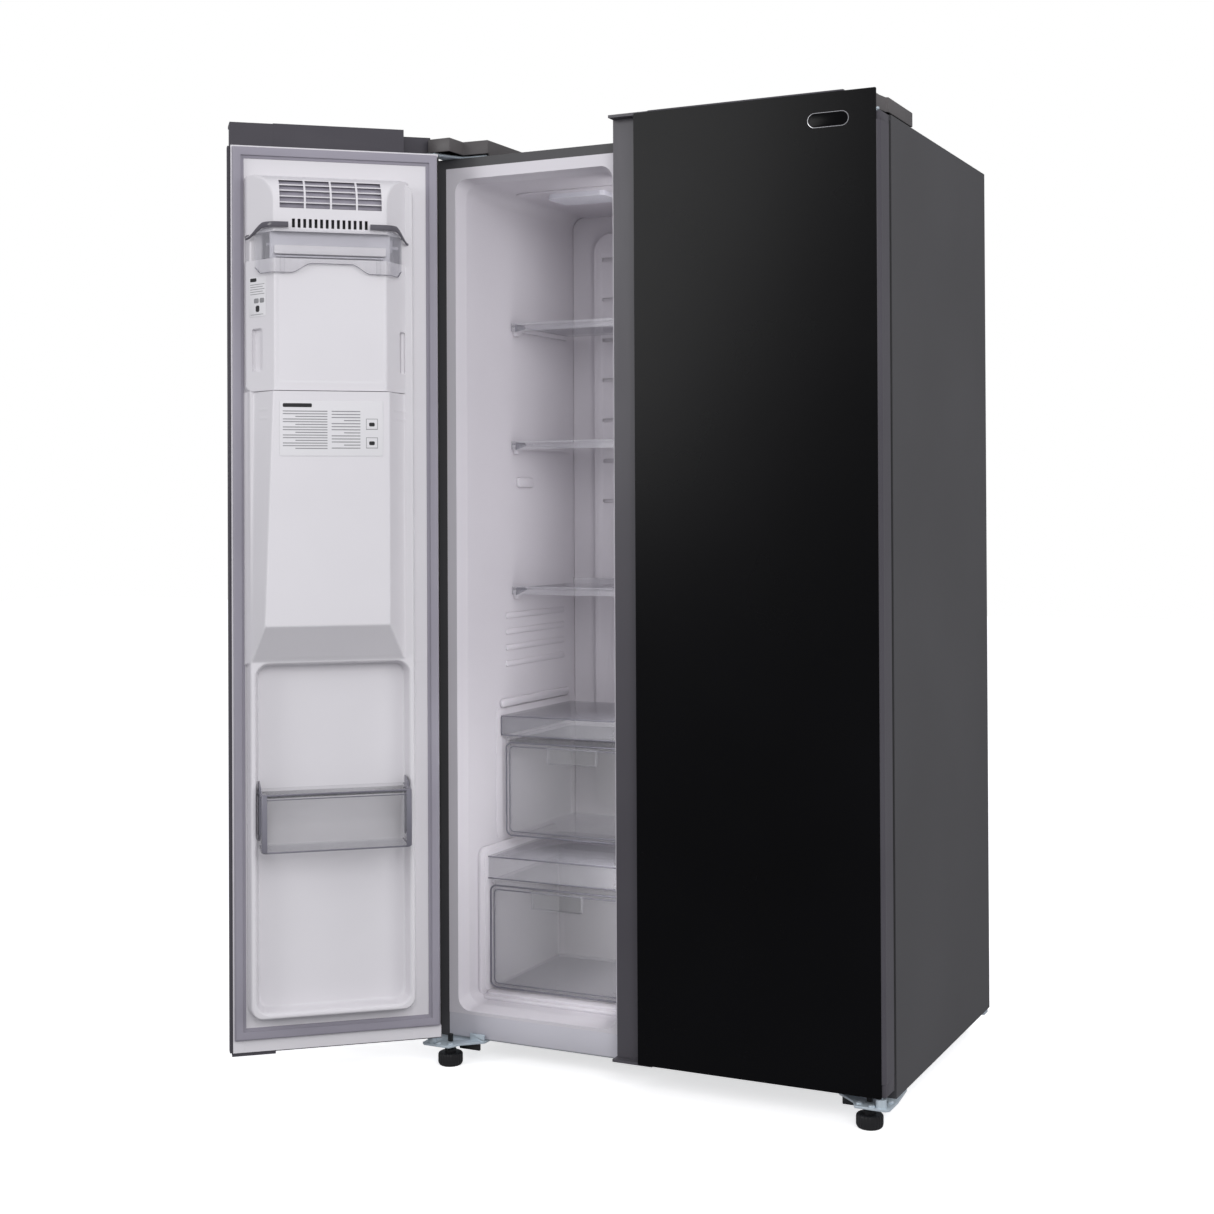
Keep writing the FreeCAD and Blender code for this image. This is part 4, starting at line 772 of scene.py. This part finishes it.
def side_label():
    """The bucket's label; its bars are mirrored, as a runs from right to left when it is read."""
    bars = [(0.08, 0.88, 0.45, 0.97, True)]
    bars += [(0.08, 0.80 - 0.06 * i, 0.92 - 0.1 * (i % 2), 0.815 - 0.06 * i, False)
             for i in range(5)]
    bars += [(0.30, 0.34, 0.58, 0.46, False), (0.64, 0.34, 0.90, 0.46, False),
             (0.40, 0.12, 0.62, 0.28, True), (0.1, 0.05, 0.85, 0.065, False)]
    flipped = [(1 - c, b, 1 - a, e, dark) for a, b, c, e, dark in bars]
    label("side_label", far_slope, 24, 1396, 72, 1468, 0.1, "ice_bucket", flipped)


# ---------------------------------------------------------------- camera, light and stage
def link_object(name, data):
    holder = bpy.data.objects.new(name, data)
    bpy.context.scene.collection.objects.link(holder)
    return holder


def camera():
    heading, rise, roll = 0.4546, 0.0076, -0.0047
    lens = bpy.data.cameras.new("camera")
    lens.sensor_width = 36
    lens.lens = 54.09
    lens.shift_y = -0.0934
    lens.dof.use_dof = False
    lens.clip_end = 60
    holder = link_object("camera", lens)
    holder.location = at(1375.8, -3003.3, 1050.6)
    turn = Matrix.Rotation(heading, 4, "Z") @ Matrix.Rotation(math.pi / 2 + rise, 4, "X")
    holder.matrix_world = (Matrix.Translation(holder.location) @ turn
                           @ Matrix.Rotation(roll, 4, "Z"))
    bpy.context.scene.camera = holder


def surroundings():
    """White where the camera sees it, a soft fill for the object, dimmer where it is mirrored."""
    world = bpy.data.worlds.new("studio")
    bpy.context.scene.world = world
    world.use_nodes = True
    tree = world.node_tree
    link = tree.links.new
    tree.nodes.clear()
    out = add(tree, "OutputWorld")
    paths = add(tree, "LightPath")
    seen = add(tree, "Background", Color=(1, 1, 1, 1), Strength=1.0)
    fill = add(tree, "Background", Color=(0.95, 0.96, 1.0, 1), Strength=0.66)
    dim = add(tree, "Background", Color=(0.95, 0.95, 1.0, 1), Strength=0.26)
    choose = add(tree, "MixShader")
    mirrored = add(tree, "MixShader")
    link(paths.outputs["Is Glossy Ray"], mirrored.inputs[0])
    link(fill.outputs[0], mirrored.inputs[1])
    link(dim.outputs[0], mirrored.inputs[2])
    link(paths.outputs["Is Camera Ray"], choose.inputs[0])
    link(mirrored.outputs[0], choose.inputs[1])
    link(seen.outputs[0], choose.inputs[2])
    link(choose.outputs[0], out.inputs["Surface"])


def ground():
    """A pale floor that the camera sees as nearly white, and everything else as dull grey."""
    build = bmesh.new()
    bmesh.ops.create_grid(build, x_segments=2, y_segments=2, size=14)
    mesh = bpy.data.meshes.new("floor")
    build.to_mesh(mesh)
    build.free()
    floor = link_object("floor", mesh)
    paint = textured("pale_floor", (0.90, 0.90, 0.91), (0.93, 0.93, 0.94), 0.6, 30, 0.02,
                     specular=0.1)
    tree = paint.node_tree
    link = tree.links.new
    glow = put(tree.nodes["Principled BSDF"], Emission_Color=(1, 1, 1, 1), Emission_Strength=0.6)
    dull = add(tree, "BsdfDiffuse", Color=(0.30, 0.30, 0.31, 1))
    paths = add(tree, "LightPath")
    either = add(tree, "MixShader")
    link(paths.outputs["Is Camera Ray"], either.inputs[0])
    link(dull.outputs[0], either.inputs[1])
    link(glow.outputs[0], either.inputs[2])
    link(either.outputs[0], tree.nodes["Material Output"].inputs["Surface"])
    mesh.materials.append(paint)
    floor.visible_glossy = False


def lamps():
    """Soft boxes and small lights inside; only the tall soft one shows in reflections."""
    for name, spot, aim, power, wide, tall in (
        ("soft", at(-1750, -3300, 2150), at(-100, 0, 1300), 33, 1.3, 2.1),
        ("front", at(2100, -3400, 2400), at(-350, 0, 950), 70, 2.0, 1.8),
        ("side", at(3200, -300, 2000), at(450, 300, 900), 36, 2.0, 2.4),
        ("inside", at(-92, 150, 1150), at(-405, 190, 1150), 0.9, 0.14, 1.0),
        ("drawer_up", at(-100, 300, 500), at(-400, 300, 480), 0.16, 0.2, 0.12),
        ("drawer_low", at(-100, 240, 220), at(-400, 240, 200), 0.16, 0.2, 0.12),
        ("inside_low", at(-92, 60, 400), at(-405, 120, 400), 0.65, 0.08, 0.5),
    ):
        mirrored = name == "soft"
        lamp = bpy.data.lights.new(name, "AREA")
        lamp.shape = "RECTANGLE"
        lamp.size = wide
        lamp.size_y = tall
        lamp.energy = power
        holder = link_object(name, lamp)
        holder.location = spot
        roll = Matrix.Rotation(-0.4 if mirrored else 0, 3, "Z")
        turn = (aim - spot).to_track_quat("-Z", "Y").to_matrix() @ roll
        holder.rotation_euler = turn.to_euler()
        holder.visible_camera = False
        holder.visible_glossy = mirrored


def studio():
    bpy.context.scene.view_settings.view_transform = "Standard"
    camera()
    surroundings()
    ground()
    lamps()


# ---------------------------------------------------------------- freezer inside
WALL_LEFT, WALL_RIGHT = -405, -85


def on_wall(side):
    """Places on a freezer side wall: a along the depth, level out of the wall, then height."""
    edge = WALL_LEFT if side < 0 else WALL_RIGHT

    def place(a, level, z):
        return at(edge - side * level, a, z)
    return place


def freezer_inside():
    """Lugs, shelf arms, ridges and surrounds on the walls, and the panels between them."""
    for side, name in SIDES:
        wall = on_wall(side)
        # the wall is thicker round the lower drawer, with a round shoulder in front
        slab(f"drawer_surround_{name}", rounded_outline(62, 103, 388, 392, 20, 8), wall, -1, 7.5,
             WALL, "cabinet", 3.0)
        slab(f"drawer_surround_in_{name}", rounded_outline(76, 112, 386, 384, 14, 8), wall, 5, 9.3,
             WALL, "cabinet", 1.6)
        slab(f"upper_surround_{name}", rounded_outline(136, 399, 455, 654, 12, 8), wall, -1, 1.6,
             WALL, "cabinet", 1.2)
        for top in (1418, 1181, 890):
            lug = [(206, top - 5), (272, top - 5), (262, top - 9), (236, top - 12),
                   (222, top - 22), (212, top - 22)]
            slab(f"shelf_lug_{name}_{top}", lug, wall, 0.5, 9, WALL, "cabinet", 1.0)
            arm = [(204, top - 14), (246, top - 5), (240, top + 1), (204, top + 1)]
            slab(f"shelf_arm_{name}_{top}", arm, wall, 9.5, 11.5, EDGE, "cabinet", 0.5)
        slab(f"wall_nub_{name}", rounded_outline(222, 1092, 290, 1112, 8), wall, -1, 7, WALL,
             "cabinet", 3.5)
        for top in (838, 806, 774, 742):
            slab(f"wall_ridge_{name}_{top}", rounded_outline(176, top - 8, 430, top + 4, 5), wall,
                 -1, 2.6, WALL, "cabinet", 2.2)
        slab(f"cover_ledge_{name}", rounded_outline(150, 655, 440, 672, 7), wall, -1, 8, WALL,
             "cabinet", 4)
    slab("drawer_floor", rounded_outline(-403, 62, -87, 388, 18, 8), at, 101, 109, WALL, "cabinet",
         3.0, axis="z")
    slab("drawer_floor_in", rounded_outline(-398, 76, -92, 386, 12, 8), at, 106, 113, WALL,
         "cabinet", 1.6, axis="z")
    slab("vent_back", rounded_outline(-340, 1040, -150, 1600, 10), at, 460.5, 462, WALL,
         "cabinet", 0.5)
    slab("ceiling_panel", rounded_outline(-372, 150, -118, 500, 26, 8), at, 1668.4, 1672, WALL,
         "cabinet", 1.5, axis="z")


def box_outline(name, low, high, inset, radius, width, body, y):
    """A raised bead that follows the front of a clear drawer."""
    ring = rounded_outline(low[0] + inset, low[1] + inset, high[0] - inset, high[1] - inset,
                           radius)
    points = [at(a, y, z) for a, z in ring]
    tube(name, points + points[:2], width, EDGE, body)


def drawers():
    """Clear drawers and covers with raised beads that follow their fronts."""
    for node in ("freezer_drawer_upper", "freezer_drawer_lower"):
        soften(node, 0.8, BOX)
        low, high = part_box(node)
        pull = 14
        front = (low.y - FRONT_Y) / MM + pull
        left, right = (low.x - CENTRE_X) / MM + 3, (high.x - CENTRE_X) / MM - 3
        bottom, top = low.z / MM, high.z / MM
        for i, (inset, radius) in enumerate(((1.5, 12), (9, 9))):
            box_outline(f"{node}_bead_{i}", (left, bottom), (right, top - 8), inset, radius,
                        1.7 - 0.6 * i, node, front - 0.4)
    soften("freezer_drawer_covers", 0.8, SHELF)
    for i, (front, low, top) in enumerate(((152, 600, 640), (88, 330, 374))):
        box_outline(f"cover_bead_{i}", (WALL_LEFT + 3, low), (WALL_RIGHT - 3, top), 1.2, 4, 1.2,
                    "cabinet", front - 0.3)


def door_bin():
    """The clear bin low on the freezer door, with thick dark rims and hooked ends."""
    soften("freezer_door_bin", 0.7, BOX)
    low, top, left, right, front = 437, 542, 70.5, 335.5, 78.2
    rim = spread([(left, -4), (left, front), (right, front), (right, -4)], 5, 11)
    for name, z, radius in (("rim", top - 1, 1.7), ("waist", top - 9, 0.9),
                            ("foot", low + 2, 1.4)):
        inset = 0 if name != "foot" else 1.5
        tube(f"door_bin_{name}", [on_freezer_door(min(max(u, left + inset), right - inset),
                                                  min(y, front - inset), z) for u, y in rim],
             radius, EDGE, "freezer_door_bin")
    for name, u in (("near", left - 1), ("far", right + 1)):
        curtain(f"door_bin_hook_{name}", [(u, 5), (u, 40)], [low + 12, low + 30],
                [top + 16, top + 9], 3.2, EDGE, "freezer_door_bin")
        inward = 9 if name == "near" else -9
        post = spread([(u, 70), (u, front + 1), (u + inward, front + 1)], 2, 5)
        curtain(f"door_bin_corner_{name}", post, [low + 3] * len(post), [top] * len(post), 1.6,
                EDGE, "freezer_door_bin")


def feet():
    """Ribbed levelling feet, each with its nut and stem in one turned outline."""
    steps, ribs = 144, 24
    profile = [(0, 0.0), (18.5, 0.0), (21.0, 1.4), (22.6, 4.0), (23.4, 7.0), (23.4, 20.0),
               (22.4, 22.6), (20.0, 24.0), (11.0, 24.0), (11.0, 30.0), (5.0, 30.5), (5.0, 57.0),
               (0, 57.0)]
    for name in ("front_foot_left", "front_foot_right"):
        low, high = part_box(name)
        x = ((low.x + high.x) / 2 - CENTRE_X) / MM
        y = ((low.y + high.y) / 2 - FRONT_Y) / MM
        build = bmesh.new()
        rings = []
        for radius, z in profile:
            ring = []
            for i in range(steps):
                turn = 2 * math.pi * i / steps
                ribbed = 1 - 0.05 * (0.5 + 0.5 * math.cos(turn * ribs)) * (3 < z < 23)
                ring.append(build.verts.new(at(x + radius * ribbed * math.cos(turn),
                                               y + radius * ribbed * math.sin(turn), z)))
            rings.append(ring)
        bridge(build, rings)
        bmesh.ops.remove_doubles(build, verts=build.verts, dist=WELD_M)
        ribbed_name = f"{name}_ribbed"
        made = piece(ribbed_name, finished(build, ribbed_name, 35), BLACK, name)
        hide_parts(name)


def roller_forks():
    """Bent cheeks that carry the rear rollers' axles down from the base plate."""
    cheek = [(560, 56), (574, 56), (578, 20), (585, 11), (595, 11), (602, 20), (626, 44),
             (631, 56)]
    stop = [(606, 33), (631, 33), (631, 56), (606, 56)]
    for side, name in SIDES:
        def beside(a, level, z, side=side):
            return at(side * (414 + level), a, z)

        slab(f"roller_cheek_{name}", cheek, beside, 0, 2.5, ZINC, "cabinet", 0.5)
        slab(f"roller_stop_{name}", stop, beside, 10, 32, ZINC, "cabinet", 1.5)


def screw_head(name, x, y, z, radius, high, upright=True):
    """A pan-head screw with a cross recess, standing up or out of the back."""
    steps = 24
    build = bmesh.new()
    rings = []
    for share, rise in ((1.0, 0.0), (1.0, 0.35), (0.9, 0.75), (0.6, 1.0)):
        ring = []
        for i in range(steps):
            turn = 2 * math.pi * i / steps
            a, b, c = share * radius * math.cos(turn), share * radius * math.sin(turn), rise * high
            ring.append(build.verts.new(at(x + a, y + b, z + c) if upright
                                        else at(x + a, y + c, z + b)))
        rings.append(ring)
    bridge(build, rings)
    build.faces.new(rings[0])
    top = rings[-1]
    middle = sum((v.co for v in top), Vector()) / steps
    hub = [build.verts.new(v.co - (v.co - middle) * (0.35 if i % 6 == 0 else 0.7))
           for i, v in enumerate(top)]
    drop = (rings[0][0].co - rings[1][0].co) * 1.1
    sunk = [build.verts.new(v.co + drop) for v in hub]
    for i, j in around(top):
        build.faces.new((top[i], top[j], hub[j], hub[i]))
        build.faces.new((hub[i], hub[j], sunk[j], sunk[i]))
    build.faces.new(sunk)
    piece(name, finished(build, name, 40), ZINC, "cabinet")


def back_screws():
    """Screws round the back panel and the machine cover."""
    columns, margin = 3, 14
    for node, rows in (("back_panel", 6), ("machine_cover", 2)):
        low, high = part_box(node)
        y = (high.y - FRONT_Y) / MM - 0.3
        xs = np.linspace((low.x - CENTRE_X) / MM + margin, (high.x - CENTRE_X) / MM - margin,
                         columns)
        zs = np.linspace(low.z / MM + margin, high.z / MM - margin, rows)
        for i, x in enumerate(xs):
            for j, z in enumerate(zs):
                if i in (0, columns - 1) or j in (0, rows - 1):
                    screw_head(f"{node}_screw_{i}_{j}", x, y, z, 4.5, 2.0, upright=False)


def bracket_details():
    """Bolt heads on the bottom hinge plates and the dark block that closes each one's arm."""
    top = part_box("cabinet_shell")[0].z / MM
    for side, name in SIDES:
        for i, (x, y) in enumerate(((400, -50), (446, -22), (424, -56))):
            screw_head(f"bracket_bolt_{name}_{i}", side * x, y, top - 0.2, 5.5, 3.4)
        block = rounded_outline(side * 380 - 22, top - 17, side * 380 + 22, top - 0.5, 1.5)
        slab(f"bracket_block_{name}", block, at, -14, -9.5, BLACK, "cabinet", 0.6)


def fridge_bins():
    """Thicker clear rims round the fridge door's bins."""
    soften("fridge_door_bins", 0.7, BOX)
    rim = spread([(69, -6), (69, 97), (461, 97), (461, -6)], 5, 11)
    for low in (650, 930, 1210, 1490):
        for name, z, radius in (("rim", low + 99, 1.6), ("foot", low + 2, 1.2)):
            tube(f"fridge_bin_{name}_{low}", [on_fridge_door(u, y, z) for u, y in rim], radius,
                 EDGE, "fridge_door")


def backing():
    """Corner pieces on both doors, black strips that paint the shadow in the gap between each door and the
    cabinet, and the freezer door's dark free edge.
    """
    corner = rounded_outline(8, 1714, 64, 1752.5, 1)
    slab("corner_backing", corner, on_freezer_door, -58.5, -57.2, TRIM, "freezer_door", 0.3)
    slab("corner_backing_right", corner, on_fridge_door, -58.5, -57.2, TRIM, "fridge_door", 0.3)
    # black rubber strips behind each door's hinge-side edge paint the shadow in the gap between door and cabinet
    gap_shadow_outline = rounded_outline(0.9, 88, 2.7, 1708, 0.6)
    slab("freezer_gap_shadow_strip", gap_shadow_outline, on_freezer_door, -11.5, -2.6, RUBBER, "freezer_door", 0.3)
    slab("fridge_gap_shadow_strip", gap_shadow_outline, on_fridge_door, -11.5, -2.6, RUBBER, "fridge_door", 0.3)
    slab("freezer_free_edge", rounded_outline(384.1, 64, 388.3, 1712, 1.0), on_freezer_door, -30,
         -12.2, TRIM, "freezer_door", 0.5)


dress_nodes()
studio()
freezer_inside()
drawers()
backing()
door_bin()
fridge_bins()
back_screws()
bracket_details()
feet()
roller_forks()
door_liners()
shrink("freezer_door_foam", 4)
shrink("fridge_door_foam", 3)
gasket("freezer_door_seal", on_freezer_door, 384, "freezer_door", "freezer_door_gasket")
gasket("fridge_door_seal", on_fridge_door, 508, "fridge_door", "fridge_door_gasket")
labels()
badge()
housing()
bucket()
guard()
side_label()
for softened, radius in (
    ("hinge_covers", 1.2), ("dispenser_bezel", 1.0),
    ("bottom_hinge_brackets", 0.5), ("top_hinge_brackets", 0.5), ("freezer_door_caps", 0.6),
    ("fridge_door_caps", 0.6), ("front_base_panel", 0.8), ("freezer_back_duct", 0.8),
):
    soften(softened, radius)
